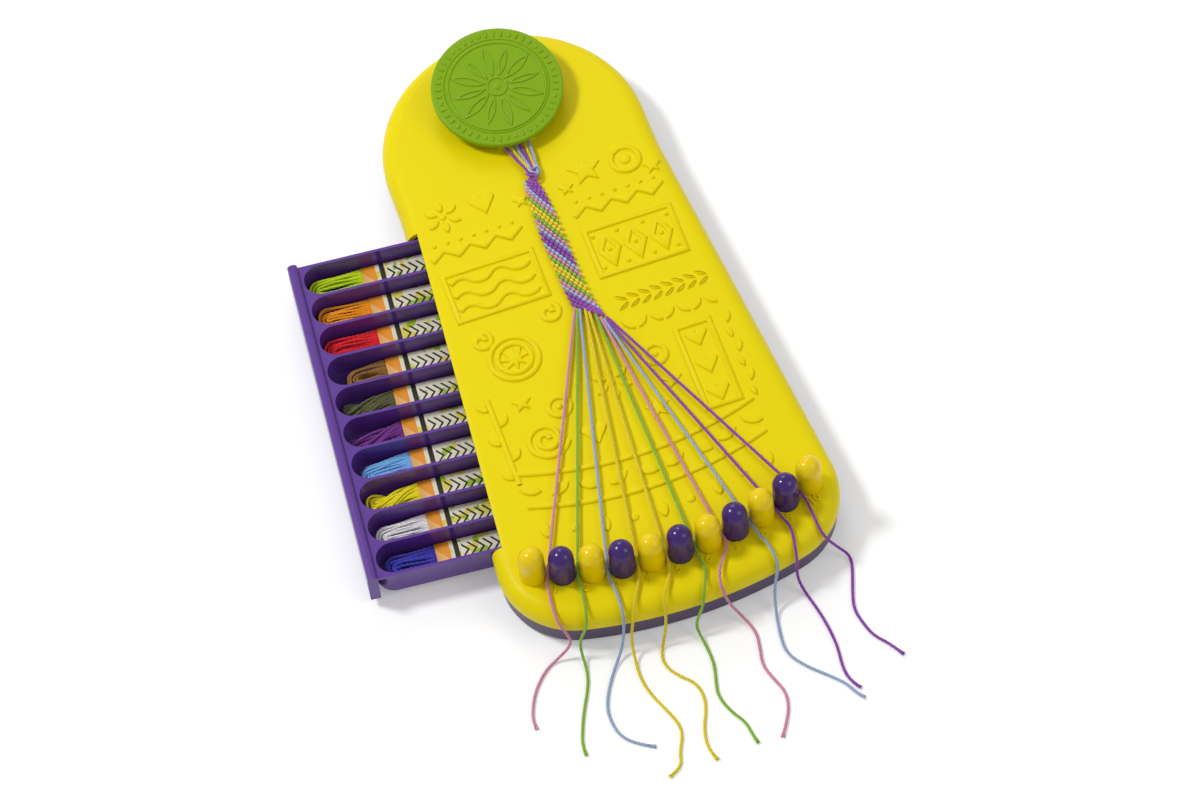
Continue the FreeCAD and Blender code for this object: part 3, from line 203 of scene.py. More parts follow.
colours = {
    "cover": paint(237, 217, 0), "pegYellow": paint(240, 208, 0), "pegPurple": paint(56, 14, 106),
    "base": paint(76, 58, 94), "drawer": paint(94, 54, 146), "disc": paint(128, 168, 4),
    "pink": paint(240, 162, 192), "green": paint(158, 208, 66), "pale": paint(180, 200, 232),
    "gold": paint(255, 232, 36), "violet": paint(164, 84, 192),
}
yellowShell = plastic("yellowShell", colours["cover"], rough=0.4, shine=0.14)
greyPurple = plastic("greyPurpleShell", colours["base"], rough=0.42, shine=0.3)
purpleGloss = plastic("purpleDrawer", colours["drawer"], rough=0.2, shine=0.4, coat=0.1, grain=0.01,
                      wear=0.06)
yellowVinyl = plastic("yellowVinyl", colours["pegYellow"], rough=0.2, shine=0.28, grain=0.01, cloud=0.05,
                      wear=0.03)
purpleVinyl = plastic("purpleVinyl", colours["pegPurple"], rough=0.18, shine=0.42, grain=0.01, cloud=0.05,
                      wear=0.03)
greenDisc = plastic("greenDisc", colours["disc"], rough=0.38, shine=0.25)
steelFinish = steel()
rubberFinish = rubber()
plyPaintedShade = 0.74  # every other ply of a thread is painted this much darker, as painted shade for the grooves between the plies
threadFinish = {name: [flossFinish(f"{name}Thread", colours[name], fuzz=0.4, grain=760),
                       flossFinish(f"{name}PaintedPlyShade", deeper(colours[name], plyPaintedShade), fuzz=0.4, grain=760)]
                for name in ("pink", "green", "pale", "gold", "violet")}

nodeFinish = {
    "cover": yellowShell, "clip_bracket": yellowShell, "base": greyPurple,
    "drawer_tray": purpleGloss, "drawer_front": purpleGloss, "clip_disc": greenDisc,
    "feet": rubberFinish, "grip_pad": yellowVinyl, "case_screws": steelFinish,
    "bracket_screws": steelFinish, "clip_pin": steelFinish, "clip_spring": steelFinish,
}
for number in range(1, 12):
    nodeFinish[f"peg_{number:02d}"] = yellowVinyl if number % 2 else purpleVinyl
for name, material in nodeFinish.items():
    for place in frame["nodes"][name].material_slots:
        place.material = material
print("materials on", len(nodeFinish), "nodes")


# helpers for new pieces
def addPiece(mesh, name, materials, body, smooth=True):
    mesh.name = name
    for material in materials:
        mesh.materials.append(material)
    if smooth:
        mesh.shade_smooth()
    item = bpy.data.objects.new(name, mesh)
    collection.objects.link(item)
    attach(item, body)
    return item


def meshFrom(work):
    mesh = bpy.data.meshes.new("made")
    work.to_mesh(mesh)
    work.free()
    return mesh


def bakeCurve(curve):
    carrier = bpy.data.objects.new("carrier", curve)
    collection.objects.link(carrier)
    bpy.context.view_layer.update()
    mesh = bpy.data.meshes.new_from_object(carrier.evaluated_get(bpy.context.evaluated_depsgraph_get()))
    bpy.data.objects.remove(carrier)
    bpy.data.curves.remove(curve)
    return mesh


def curveMesh(paths, radius=0.0, sides=6, closed=False, tilts=None, profile=None, kind="POLY", fine=1):
    curve = bpy.data.curves.new("line", "CURVE")
    curve.dimensions = "3D"
    curve.twist_mode = "MINIMUM"
    curve.bevel_depth = radius
    curve.bevel_resolution = (sides - 4) // 2
    curve.use_fill_caps = True
    if profile:
        curve.bevel_mode = "OBJECT"
        curve.bevel_object = profile
    for index, path in enumerate(paths):
        spline = curve.splines.new(kind)
        spline.points.add(len(path) - 1)
        spline.points.foreach_set("co", [value for point in path for value in (*point, 1.0)])
        if tilts:
            spline.points.foreach_set("tilt", tilts[index])
        if kind == "NURBS":
            spline.order_u = 3
            spline.use_endpoint_u = not closed
        spline.use_cyclic_u = closed
        spline.resolution_u = fine
    return bakeCurve(curve)


def lineLength(line):
    return sum((after - before).length for before, after in zip(line, line[1:]))


def splineLine(points, fine=12):
    mesh = curveMesh([points], kind="NURBS", fine=fine)
    line = [vertex.co.copy() for vertex in mesh.vertices]
    bpy.data.meshes.remove(mesh)
    return line


def evenly(line, step):
    made, carry = [line[0]], 0.0
    for start, end in zip(line, line[1:]):
        length = (end - start).length
        at = step - carry
        while at < length:
            made.append(start.lerp(end, at / length))
            at += step
        carry = length - (at - step)
    if (made[-1] - line[-1]).length > step * 0.3:
        made.append(line[-1])
    return made


# a six-strand thread: its plies lie in close pairs and spread apart at a cut end
thread = {
    "diameter": 1.1 * mm, "plies": 6, "ply": 0.27 * mm, "offset": 0.42 * mm, "pitch": 7 * mm, "pairing": 0.35,
    "wander": 0.18, "wanderRate": 300, "step": 0.6 * mm,
    "splay": 0.4 * mm, "splayed": 4 * mm, "splayShares": (0.4, 1.0),
    "lowest": 0.378 * mm,  # a ply's middle stays this high over the table
}


def pliesAlong(line, seed, splay=0.0):
    chance = random.Random(seed)
    plies = thread["plies"]
    side = up.cross(line[1] - line[0]).normalized()
    paths = [[] for _ in range(plies)]
    travelled, total = 0.0, lineLength(line)
    spreads = [chance.uniform(*thread["splayShares"]) for _ in range(plies)]
    phase = chance.uniform(0, math.tau)
    for index, point in enumerate(line):
        ahead = (line[min(index + 1, len(line) - 1)] - line[max(index - 1, 0)]).normalized()
        side = (side - ahead * side.dot(ahead)).normalized()
        other = ahead.cross(side)
        if index:
            travelled += (point - line[index - 1]).length
        loose = splay * max(0.0, 1 - (total - travelled) / thread["splayed"]) ** 2
        for k in range(plies):
            share = (k - thread["pairing"] * (k % 2)) / plies
            turn = phase + math.tau * (share + travelled / thread["pitch"])
            drift = noise(Vector((travelled * thread["wanderRate"], k * 7.3, seed)))
            reach = thread["offset"] * (1 + thread["wander"] * drift) + spreads[k] * loose
            place = point + side * (math.cos(turn) * reach) + other * (math.sin(turn) * reach)
            place.z = max(place.z, thread["lowest"])
            paths[k].append(place)
    return paths


def threadMesh(paths):
    mesh = curveMesh(paths, thread["ply"])
    share = len(mesh.polygons) // len(paths)
    # alternate plies take the darker finish: painted shade between the plies
    mesh.polygons.foreach_set("material_index", [index // share % 2 for index in range(len(mesh.polygons))])
    return mesh


# ten free threads, from the strip through the slots and onto the table
threadColours = ["pink", "green", "pale", "gold", "gold", "green", "pink", "pale", "violet", "violet"]
threadRoutes = [
    [(-0.0032, -0.0001, 0.025), (-0.0565, -0.1205, 0.0255), (-0.0585, -0.126, 0.0245),
     (-0.0595, -0.1325, 0.0255), (-0.06, -0.143, 0.022), (-0.0575, -0.145, 0.015),
     (-0.0555, -0.1485, 0.0095), (-0.0635, -0.149, 0.0007), (-0.0695, -0.152, 0.0007),
     (-0.0765, -0.1595, 0.0007), (-0.0805, -0.167, 0.0007), (-0.0825, -0.1735, 0.0007),
     (-0.082, -0.1775, 0.0007)],
    [(-0.0025, -0.0012, 0.025), (-0.0445, -0.1245, 0.0255), (-0.0455, -0.13, 0.0245),
     (-0.046, -0.138, 0.025), (-0.0475, -0.145, 0.0245), (-0.0485, -0.148, 0.0185),
     (-0.0525, -0.149, 0.0115), (-0.053, -0.151, 0.0035), (-0.053, -0.158, 0.0007),
     (-0.055, -0.1655, 0.0007), (-0.061, -0.177, 0.0007), (-0.0645, -0.1855, 0.0007),
     (-0.0665, -0.1915, 0.0007), (-0.0665, -0.1965, 0.0007)],
    [(-0.0016, -0.0016, 0.025), (-0.032, -0.1275, 0.0255), (-0.033, -0.133, 0.0245),
     (-0.032, -0.1385, 0.0255), (-0.0325, -0.149, 0.024), (-0.033, -0.151, 0.016),
     (-0.0355, -0.1545, 0.0045), (-0.0405, -0.16, 0.0007), (-0.0465, -0.1685, 0.0007),
     (-0.051, -0.178, 0.0007), (-0.0515, -0.1855, 0.0007), (-0.05, -0.193, 0.0007),
     (-0.0445, -0.199, 0.0007), (-0.0375, -0.203, 0.0007)],
    [(0.0006, -0.0025, 0.025), (-0.019, -0.1295, 0.0255), (-0.0203, -0.136, 0.0245),
     (-0.026, -0.146, 0.025), (-0.0285, -0.151, 0.021), (-0.0315, -0.154, 0.008),
     (-0.0325, -0.162, 0.0007), (-0.033, -0.1715, 0.0007), (-0.031, -0.18, 0.0007),
     (-0.0275, -0.1885, 0.0007), (-0.025, -0.1955, 0.0007), (-0.025, -0.2015, 0.0007),
     (-0.029, -0.209, 0.0007), (-0.0305, -0.216, 0.0007), (-0.037, -0.2185, 0.0007)],
    [(0.0018, -0.0043, 0.025), (-0.0065, -0.1305, 0.0255), (-0.0065, -0.136, 0.0245),
     (-0.0095, -0.1425, 0.025), (-0.0145, -0.1495, 0.025), (-0.015, -0.1535, 0.017),
     (-0.0165, -0.156, 0.0085), (-0.019, -0.1585, 0.0007), (-0.0215, -0.164, 0.0007),
     (-0.0205, -0.17, 0.0007), (-0.0165, -0.1755, 0.0007), (-0.012, -0.18, 0.0007),
     (-0.0105, -0.1865, 0.0007), (-0.0115, -0.193, 0.0007), (-0.0155, -0.2015, 0.0007),
     (-0.017, -0.2085, 0.0007), (-0.0165, -0.214, 0.0007), (-0.015, -0.218, 0.0007)],
    [(0.004, -0.0063, 0.025), (0.0065, -0.1305, 0.0255), (0.0065, -0.136, 0.0245),
     (0.007, -0.1435, 0.025), (0.003, -0.152, 0.0235), (0.0015, -0.154, 0.015),
     (-0.003, -0.157, 0.009), (-0.003, -0.158, 0.003), (-0.0015, -0.167, 0.0007),
     (-0.0015, -0.175, 0.0007), (-0.0035, -0.1825, 0.0007), (-0.005, -0.1895, 0.0007),
     (-0.0025, -0.198, 0.0007), (0.002, -0.2055, 0.0007), (0.0025, -0.2115, 0.0007),
     (0.0035, -0.2165, 0.0007)],
    [(0.0055, -0.0087, 0.025), (0.019, -0.1295, 0.0255), (0.02, -0.135, 0.0245),
     (0.015, -0.141, 0.025), (0.0115, -0.147, 0.026), (0.0105, -0.1525, 0.023),
     (0.0125, -0.155, 0.012), (0.017, -0.1575, 0.0025), (0.0205, -0.166, 0.0007),
     (0.0195, -0.1735, 0.0007), (0.0175, -0.1825, 0.0007), (0.02, -0.1905, 0.0007),
     (0.0225, -0.1975, 0.0007), (0.0215, -0.2045, 0.0007), (0.018, -0.2115, 0.0007),
     (0.014, -0.2175, 0.0007)],
    [(0.0066, -0.0103, 0.025), (0.032, -0.1275, 0.0255), (0.033, -0.133, 0.0255),
     (0.036, -0.141, 0.0255), (0.037, -0.149, 0.0235), (0.037, -0.1495, 0.017),
     (0.0335, -0.1535, 0.0095), (0.0315, -0.1605, 0.0007), (0.0295, -0.1715, 0.0007),
     (0.029, -0.1805, 0.0007), (0.0345, -0.189, 0.0007), (0.042, -0.1965, 0.0007),
     (0.048, -0.203, 0.0007), (0.05, -0.208, 0.0007), (0.053, -0.212, 0.0007)],
    [(0.0076, -0.0108, 0.025), (0.0445, -0.1245, 0.0255), (0.0455, -0.13, 0.0245),
     (0.048, -0.136, 0.0255), (0.046, -0.148, 0.022), (0.0455, -0.149, 0.0145),
     (0.0445, -0.152, 0.0085), (0.0465, -0.156, 0.0007), (0.0485, -0.1645, 0.0007),
     (0.05, -0.174, 0.0007), (0.0505, -0.185, 0.0007), (0.049, -0.1955, 0.0007),
     (0.05, -0.2025, 0.0007), (0.053, -0.207, 0.0007)],
    [(0.0082, -0.0098, 0.025), (0.0565, -0.1205, 0.0255), (0.0585, -0.126, 0.0245),
     (0.0585, -0.133, 0.0255), (0.0595, -0.1435, 0.0215), (0.0655, -0.1435, 0.0085),
     (0.071, -0.146, 0.0007), (0.0685, -0.1545, 0.0007), (0.0655, -0.1625, 0.0007),
     (0.063, -0.171, 0.0007), (0.065, -0.1805, 0.0007), (0.067, -0.186, 0.0007),
     (0.072, -0.192, 0.0007), (0.0755, -0.1985, 0.0007)],
]
for number, (route, colour) in enumerate(zip(threadRoutes, threadColours), start=1):
    line = evenly(splineLine(route), thread["step"])
    paths = pliesAlong(line, number, splay=thread["splay"])
    piece = addPiece(threadMesh(paths), f"thread{number:02d}", threadFinish[colour], "root")
    lineLength(line)
    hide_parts(f"thread_{number:02d}")
print("threads laid")


# the woven strip: knots in slanting rows, one colour to a row
weave = {
    "firstRow": 75.3 * mm, "rowPitch": 3.3 * mm, "rows": range(-6, 23), "columns": 9, "width": 9.4 * mm,
    "slope": 1.95, "settle": 17, "ease": 0.03,  # rows past the settle-th lie flatter and flatter
    "top": 69.6 * mm, "level": 25.15 * mm, "crown": 0.5 * mm, "lean": -57,
    "knot": (1.2 * mm, 0.76 * mm, 0.9 * mm), "sway": 6, "spread": (0.93, 1.05), "patternStart": 2,
    "bedLevel": 24.85 * mm, "bedInset": 0.12, "bedPaintedShade": 0.4,
}
# edges of the strip: ahead and across, in millimetres
leftEdge = [(70, -1.8), (68, -3.4), (66, -4.1), (60, -4.8), (50, -5.3), (40, -5.7), (25, -5.6), (10, -5.0),
            (2, -4.3), (-12, -3.4)]
rightEdge = [(70, 0.8), (69, 1.3), (66, 2.5), (60, 3.5), (50, 4.3), (30, 4.5), (14, 4.8), (5, 5.4), (0, 6.1),
             (-10, 8.0), (-14, 8.4)]
rowColours = ["violet", "violet", "pale", "pink", "green", "gold", "gold", "green", "pink", "pale"]
strayKnot = (-2, 5)  # one pink knot among the violet ones


def onEdge(edge, y):
    for (highY, highX), (lowY, lowX) in zip(edge, edge[1:]):
        if y >= lowY * mm or (lowY, lowX) == edge[-1]:
            share = (highY * mm - y) / ((highY - lowY) * mm)
            return (highX + (lowX - highX) * min(max(share, 0), 1)) * mm


def onStrip(row, across):
    slope = weave["slope"] - weave["ease"] * max(0, row - weave["settle"]) ** 2
    y = weave["firstRow"] - row * weave["rowPitch"] - across * weave["width"] * slope
    left, right = onEdge(leftEdge, y), onEdge(rightEdge, y)
    sink = weave["crown"] * (2 * across - 1) ** 2
    return Vector((left + (right - left) * across, y, weave["level"] - sink))


def rowColour(row, column):
    if (row, column) == strayKnot:
        return "pink"
    inPattern = weave["patternStart"] <= row < weave["rows"][-1]
    return rowColours[row % len(rowColours)] if inPattern else "violet"


def tieRows(work, palette):
    chance = random.Random(5)
    for row in weave["rows"]:
        for column in range(weave["columns"]):
            place = onStrip(row, (column + 0.5) / weave["columns"])
            if place.y > weave["top"]:
                continue
            lean = math.radians(weave["lean"] + chance.uniform(-weave["sway"], weave["sway"]))
            size = [reach * chance.uniform(*weave["spread"]) for reach in weave["knot"]]
            shape = Matrix.Translation(place) @ Matrix.Rotation(lean, 4, "Z") @ Matrix.Diagonal((*size, 1))
            made = bmesh.ops.create_uvsphere(work, u_segments=10, v_segments=8, radius=1, matrix=shape)
            index = palette.index(rowColour(row, column))
            for face in {face for vertex in made["verts"] for face in vertex.link_faces}:
                face.material_index = index


# a sheet of the rows' own colours, darkened as painted shade, fills the gaps between the knots where only
# shade would show
def layBed(work, palette):
    bed = []
    for row in weave["rows"]:
        ends = [onStrip(row, share) for share in (weave["bedInset"], 1 - weave["bedInset"])]
        bed.append([work.verts.new((end.x, min(end.y, weave["top"]), weave["bedLevel"])) for end in ends])
    for row, (a, b), (c, d) in zip(weave["rows"], bed, bed[1:]):
        shaded = palette.index(rowColour(row, weave["columns"] // 2)) + len(palette)
        work.faces.new((a, c, d, b)).material_index = shaded


def weaveStrip():
    palette = list(dict.fromkeys(rowColours))
    finishes = [wovenFinish(f"{name}Knots", colours[name]) for name in palette]
    # the sheet's finishes: each row colour darkened as painted shade
    finishes += [wovenFinish(f"{name}PaintedShadeBed", deeper(colours[name], weave["bedPaintedShade"])) for name in palette]
    work = bmesh.new()
    tieRows(work, palette)
    layBed(work, palette)
    piece = addPiece(meshFrom(work), "wovenStrip", finishes, "root")
    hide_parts("bracelet")


weaveStrip()
print("strip woven")


# two strands tied in an overhand knot at the head of the strip
tie = {
    "points": 90, "rise": 1.2, "turn": 0.5,
    "strands": {"violet": (Vector((1.4, 71.0, 25.8)) * mm, 0.95 * mm, 0.62 * mm),
                "pale": (Vector((2.6, 72.2, 26.1)) * mm, 0.8 * mm, 0.56 * mm)},  # middle, size and thickness
}


def tieKnot():
    for index, (colour, (centre, size, strand)) in enumerate(tie["strands"].items()):
        line = []
        for step in range(tie["points"]):
            t = math.tau * step / tie["points"] + index * tie["turn"]
            bend = Vector((math.sin(t) + 2 * math.sin(2 * t), math.cos(t) - 2 * math.cos(2 * t),
                           -tie["rise"] * math.sin(3 * t)))
            line.append(centre + bend * size)
        mesh = curveMesh([line], strand, sides=8, closed=True)
        piece = addPiece(mesh, f"knot_{colour}", [wovenFinish(f"{colour}Knot", colours[colour])], "root")
        if index == 0:
            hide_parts("bracelet_knot")


# the six strands that run on from the knot and under the disc
tails = {
    "colours": ["violet", "gold", "pale", "violet", "gold", "pale"], "start": Vector((1.9, 74.0, 25.9)) * mm,
    "end": Vector((-1.2, 96.5, 24.75)) * mm, "startPitch": 0.85 * mm, "endPitch": 2.3 * mm,
    "bow": 0.3 * mm, "bowShares": (0.3, 0.65), "lift": 0.3 * mm, "lead": 1.6 * mm,
}


def layTails():
    for number, colour in enumerate(tails["colours"]):
        spread = number - (len(tails["colours"]) - 1) / 2
        start = tails["start"] + Vector((spread * tails["startPitch"], 0, 0))
        end = tails["end"] + Vector((spread * tails["endPitch"], 0, 0))
        bow = Vector((tails["bow"] * spread, 0, tails["lift"] * (number % 2)))
        bowed = [start.lerp(end, share) + bow for share in tails["bowShares"]]
        line = evenly(splineLine([start - Vector((0, tails["lead"], 0)), start, *bowed, end]), thread["step"])
        paths = pliesAlong(line, 30 + number)
        piece = addPiece(threadMesh(paths), f"tail{number + 1}", threadFinish[colour], "root")
        if number == 0:
            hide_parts("bracelet_tails")


tieKnot()
layTails()
print("knot tied")


# skeins of floss: nested loops, gathered flat under a paper band
inwardAxis = -Vector(joints["drawer_slide"]["axis"])
inwardAngle = math.atan2(inwardAxis.y, inwardAxis.x)
skein = {
    "length": 103 * mm, "strand": 0.5 * mm, "bandStart": 25 * mm, "bandEnd": 81 * mm,
    "layers": [(4, 4.9, 1.75), (5, 5.7, 0.0), (4, 5.0, -1.8)],
    "bandPitch": 0.98 * mm, "bandRow": 0.62 * mm, "twist": 9 * mm, "half": 5.9 * mm, "halfHigh": 2.7 * mm,
    "nest": (0.6 * mm, 1.15 * mm), "stagger": 0.9 * mm, "drift": (0.8 * mm, 0.6 * mm),
    "wave": 0.35 * mm, "waveRate": 350, "waveShift": 1.7, "bend": (0.6, 0.8),
    "lobes": 4, "lobeHigh": 0.15, "corners": 12, "inside": 18 * mm,
    "rollWide": 1.5, "rollHigh": 0.5, "leanRate": 1.6,
    # each loop fans out of the band: millimetres from the band's edge or the loop's end, share of the width
    "opening": ((3, 0), (-1, 0.06), (-6, 0.5), (-11, 0.9)), "nose": ((6.5, 1.0), (2.5, 0.96)),
    "closing": ((-3, 0), (1, 0.06), (7, 0.6)), "tail": ((-5, 0.95), (-2, 0.9)),
}
skeinColours = {
    "lime": (206, 236, 10), "orange": (255, 164, 10), "red": (244, 34, 44), "brown": (156, 112, 52),
    "olive": (106, 108, 66), "plum": (132, 58, 154), "sky": (136, 200, 255), "yellow": (255, 240, 14),
    "white": (246, 244, 244), "blue": (68, 64, 190),
}
# how the loop end of each lies: set back, share of the full width, twist in degrees, sideways
skeinLie = {
    "lime": (0, 0.95, 25, 0), "orange": (0.5, 1.0, 0, 0), "red": (0, 1.0, 20, 0),
    "brown": (6.5, 0.72, 15, -0.4), "olive": (1, 0.8, 170, 0.2), "plum": (0, 0.6, 150, -0.9),
    "sky": (2, 0.62, 35, -0.6), "yellow": (1, 0.9, 190, 0), "white": (1.5, 0.85, 40, 0.2),
    "blue": (2, 0.92, 10, 0),
}


# from a skein's own lengthwise place to where it lies in the drawer
def inDrawer(node, ahead):
    low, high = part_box(node)
    turned = Matrix.Translation((low + high) / 2) @ Matrix.Rotation(inwardAngle, 4, "Z")
    return turned @ Matrix.Translation((ahead - skein["length"] / 2, 0, 0))


def lobedProfile():
    curve = bpy.data.curves.new("lobes", "CURVE")
    curve.dimensions = "2D"
    spline = curve.splines.new("POLY")
    spline.points.add(skein["corners"] - 1)
    for k, point in enumerate(spline.points):
        angle = math.tau * k / skein["corners"]
        reach = skein["strand"] * (1 + skein["lobeHigh"] * math.cos(skein["lobes"] * angle))
        point.co = (reach * math.cos(angle), reach * math.sin(angle), 0, 1)
    spline.use_cyclic_u = True
    item = bpy.data.objects.new("lobes", curve)
    collection.objects.link(item)
    return item


# the strands under the band lie side by side in two rows, in the order of their loops
def seatStrands(loops):
    sides = sorted((side * loop["reach"], index, side)
                   for index, loop in enumerate(loops) for side in (-1, 1))
    rows = {-1: [], 1: []}
    for rank, (_, index, side) in enumerate(sides):
        height = loops[index]["height"]
        upper = height > 0 or (height == 0 and rank % 2)
        rows[1 if upper else -1].append((loops[index], side))
    for row, chosen in rows.items():
        for place, (loop, side) in enumerate(chosen):
            y = (place - (len(chosen) - 1) / 2) * skein["bandPitch"]
            loop["seats"][side] = (y, row * skein["bandRow"])


# towards the loop end a skein narrows, twists and leans aside, and stays in its compartment
def lieDown(point, width, twist, aside):
    share = max(0.0, 1 - point.x / skein["bandStart"])
    angle = math.radians(twist) * share
    y, z = point.y * (1 - share * (1 - width)), point.z
    wide, high = skein["rollWide"] * math.sin(angle), skein["rollHigh"] * math.sin(angle)
    y, z = y * math.cos(angle) - z * wide, y * high + z * math.cos(angle)
    y += aside * mm * min(1, skein["leanRate"] * share)
    return Vector((point.x, max(-skein["half"], min(skein["half"], y)),
                   max(-skein["halfHigh"], min(skein["halfHigh"], z))))


def makeLoops(setBack, seed):
    chance = random.Random(seed)
    loops = [{"reach": half * (1 - k / count) * mm, "height": height * mm, "order": k, "seats": {}}
             for count, half, height in skein["layers"] for k in range(count)]
    for index, loop in enumerate(loops):
        nest = skein["nest"][0] + loop["order"] * skein["nest"][1]
        loop["phase"] = index * skein["waveShift"]
        loop["nose"] = setBack * mm + nest + chance.uniform(0, skein["stagger"])
        loop["tail"] = skein["length"] - nest - chance.uniform(0, skein["stagger"])
        loop["drift"] = {side: [chance.uniform(-reach, reach) for reach in skein["drift"]]
                         for side in (-1, 1)}
    seatStrands(loops)
    return loops


# share is 0 under the band and 1 where the loop is at its full width
def loopPoint(loop, x, side, share):
    seatY, seatZ = loop["seats"][side]
    driftY, driftZ = loop["drift"][side]
    wave = math.sin(x * skein["waveRate"] + loop["phase"]) * skein["wave"]
    y = seatY * (1 - share) + (side * loop["reach"] + driftY + wave) * share
    z = seatZ * (1 - share) + (loop["height"] + driftZ) * share
    return Vector((x, y, z))


def loopBend(loop, x, side):
    return Vector((x, side * loop["reach"] * skein["bend"][0], loop["height"] * skein["bend"][1]))


# once round: out of the band to the nose, back through the band to the tail, and home
def loopPath(loop):
    def stops(key, origin):
        return [(origin + x * mm, share) for x, share in skein[key]]

    start, stop = skein["bandStart"], skein["bandEnd"]
    opening = stops("opening", start) + stops("nose", loop["nose"])
    closing = stops("closing", stop) + stops("tail", loop["tail"])
    middle = [(stop - skein["inside"], 0), (start + skein["inside"], 0)]
    path = [loopPoint(loop, x, 1, share) for x, share in middle + opening]
    path += [loopBend(loop, loop["nose"], side) for side in (1, -1)]
    path += [loopPoint(loop, x, -1, share) for x, share in opening[::-1] + middle[::-1] + closing]
    path += [loopBend(loop, loop["tail"], side) for side in (-1, 1)]
    return path + [loopPoint(loop, x, 1, share) for x, share in closing[::-1]]


def pathTilts(path):
    travelled, tilts = 0.0, []
    for before, point in zip([path[0]] + path, path):
        travelled += (point - before).length
        tilts.append(math.tau * travelled / skein["twist"])
    return tilts


def windSkeins():
    profile = lobedProfile()
    for number, (name, colour) in enumerate(skeinColours.items(), start=1):
        node = f"skein_{number:02d}_{name}"
        setBack, *lie = skeinLie[name]
        loops = makeLoops(setBack, 40 + number)
        paths = [[lieDown(point, *lie) for point in loopPath(loop)] for loop in loops]
        tilts = [pathTilts(path) for path in paths]
        mesh = curveMesh(paths, closed=True, tilts=tilts, profile=profile, kind="NURBS", fine=6)
        mesh.transform(inDrawer(node, 0))
        finish = flossFinish(f"{name}Floss", paint(*colour), fuzz=0.2)
        piece = addPiece(mesh, f"skein{name.capitalize()}", [finish], "drawer")
        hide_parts(node)
    bpy.data.objects.remove(profile)


windSkeins()
print("skeins wound")


# printed paper bands round the skeins
band = {
    "start": 25 * mm, "length": 56 * mm, "width": 13.8 * mm, "height": 3.3 * mm, "paper": 0.22 * mm,
    "pitch": 16.05 * mm, "stripe": 6.2 * mm, "gap": 8.0 * mm, "bar": 10.2 * mm, "mark": 3.4 * mm,
    "stroke": 1.15 * mm, "markReach": 3.6 * mm, "markSlant": 0.9, "markGap": 1.2 * mm,
    "stripeSlant": 1.2, "stripeSplit": 0.62,
    "corners": 28, "rows": 8, "waver": 0.15 * mm, "waverRate": 130,
}


# the print starts at each band's own end, and repeats from skein to skein
def bandFinish(corner):
    made = Finish("printedPaper", Roughness=0.55, Specular_IOR_Level=0.4)
    local = Matrix.Rotation(-inwardAngle, 4, "Z") @ corner
    place = made.place(turn=-inwardAngle, shift=(-local.x, -local.y + 0.5 * band["pitch"], 0))
    x = made.node("ShaderNodeSeparateXYZ", {}, {0: place})
    y = x.beside("Y")
    across = y.maths("FLOORED_MODULO", band["pitch"]) - 0.5 * band["pitch"]
    reach = across.maths("ABSOLUTE")
    cream, ink = paint(236, 231, 208), paint(36, 36, 26)
    blotch = made.mix(made.noise(170, 1.0, rough=0.3) > 0.58, cream, paint(226, 214, 96))
    fleck = (made.noise(210, 0.5, rough=0.2) > 0.66) * (x > band["bar"])
    ground = made.mix(fleck, blotch, paint(160, 196, 40))
    bent = x + reach * band["markSlant"]
    step = bent.maths("FLOORED_MODULO", band["mark"])
    marks = (step < band["stroke"]) * (reach < band["markReach"]) * (x > band["bar"] + band["markGap"])
    ground = made.mix(marks, ground, ink)
    ground = made.mix((x > band["gap"]) * (x < band["bar"]), ground, ink)
    slant = (x * band["stripeSlant"] + across) < (band["stripe"] * band["stripeSplit"])
    stripe = made.mix(slant, paint(236, 150, 30), paint(242, 184, 112))
    ground = made.mix(x < band["stripe"], ground, stripe)
    made.set("Base Color", ground)
    made.bump(made.noise(260), 0.15, distance=0.4 * mm)
    return made.material


# a ring, parted into a flat oval and drawn out along the skein in rows
def addBand(work, node):
    flat = 0.5 * (band["width"] - band["height"])
    ring = bmesh.ops.create_circle(work, cap_ends=False, segments=band["corners"],
                                   radius=0.5 * band["height"])["verts"]
    for vertex in ring:
        vertex.co.x += flat if vertex.co.x > 1e-7 else -flat if vertex.co.x < -1e-7 else 0
    upright = Matrix(((0, 0, 1), (1, 0, 0), (0, 1, 0))).to_4x4()
    bmesh.ops.transform(work, matrix=inDrawer(node, band["start"]) @ upright, verts=ring)
    edges = list({edge for vertex in ring for edge in vertex.link_edges})
    for _ in range(band["rows"]):
        grown = bmesh.ops.extrude_edge_only(work, edges=edges)["geom"]
        moved = [item for item in grown if isinstance(item, bmesh.types.BMVert)]
        bmesh.ops.translate(work, vec=inwardAxis * (band["length"] / band["rows"]), verts=moved)
        edges = [item for item in grown if isinstance(item, bmesh.types.BMEdge)]


def wrapBands():
    work = bmesh.new()
    nodes = [f"skein_{number:02d}_{name}" for number, name in enumerate(skeinColours, start=1)]
    for node in nodes:
        addBand(work, node)
    for vertex in work.verts:
        vertex.co.z += band["waver"] * noise(vertex.co * band["waverRate"])
    bmesh.ops.recalc_face_normals(work, faces=work.faces)
    bmesh.ops.solidify(work, geom=work.faces, thickness=band["paper"])
    finish = bandFinish(inDrawer(nodes[-1], band["start"]).translation)
    piece = addPiece(meshFrom(work), "paperBands", [finish], "drawer")
    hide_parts("skein_bands")


wrapBands()
print("bands wrapped")


# raised decoration on the board: plain craft motifs, placed and measured in modules
module = 2.99 * mm
relief = {"level": 23.0 * mm, "high": 0.92 * mm, "half": 1.25 * mm, "sunk": 0.15 * mm, "slope": 0.5 * mm}
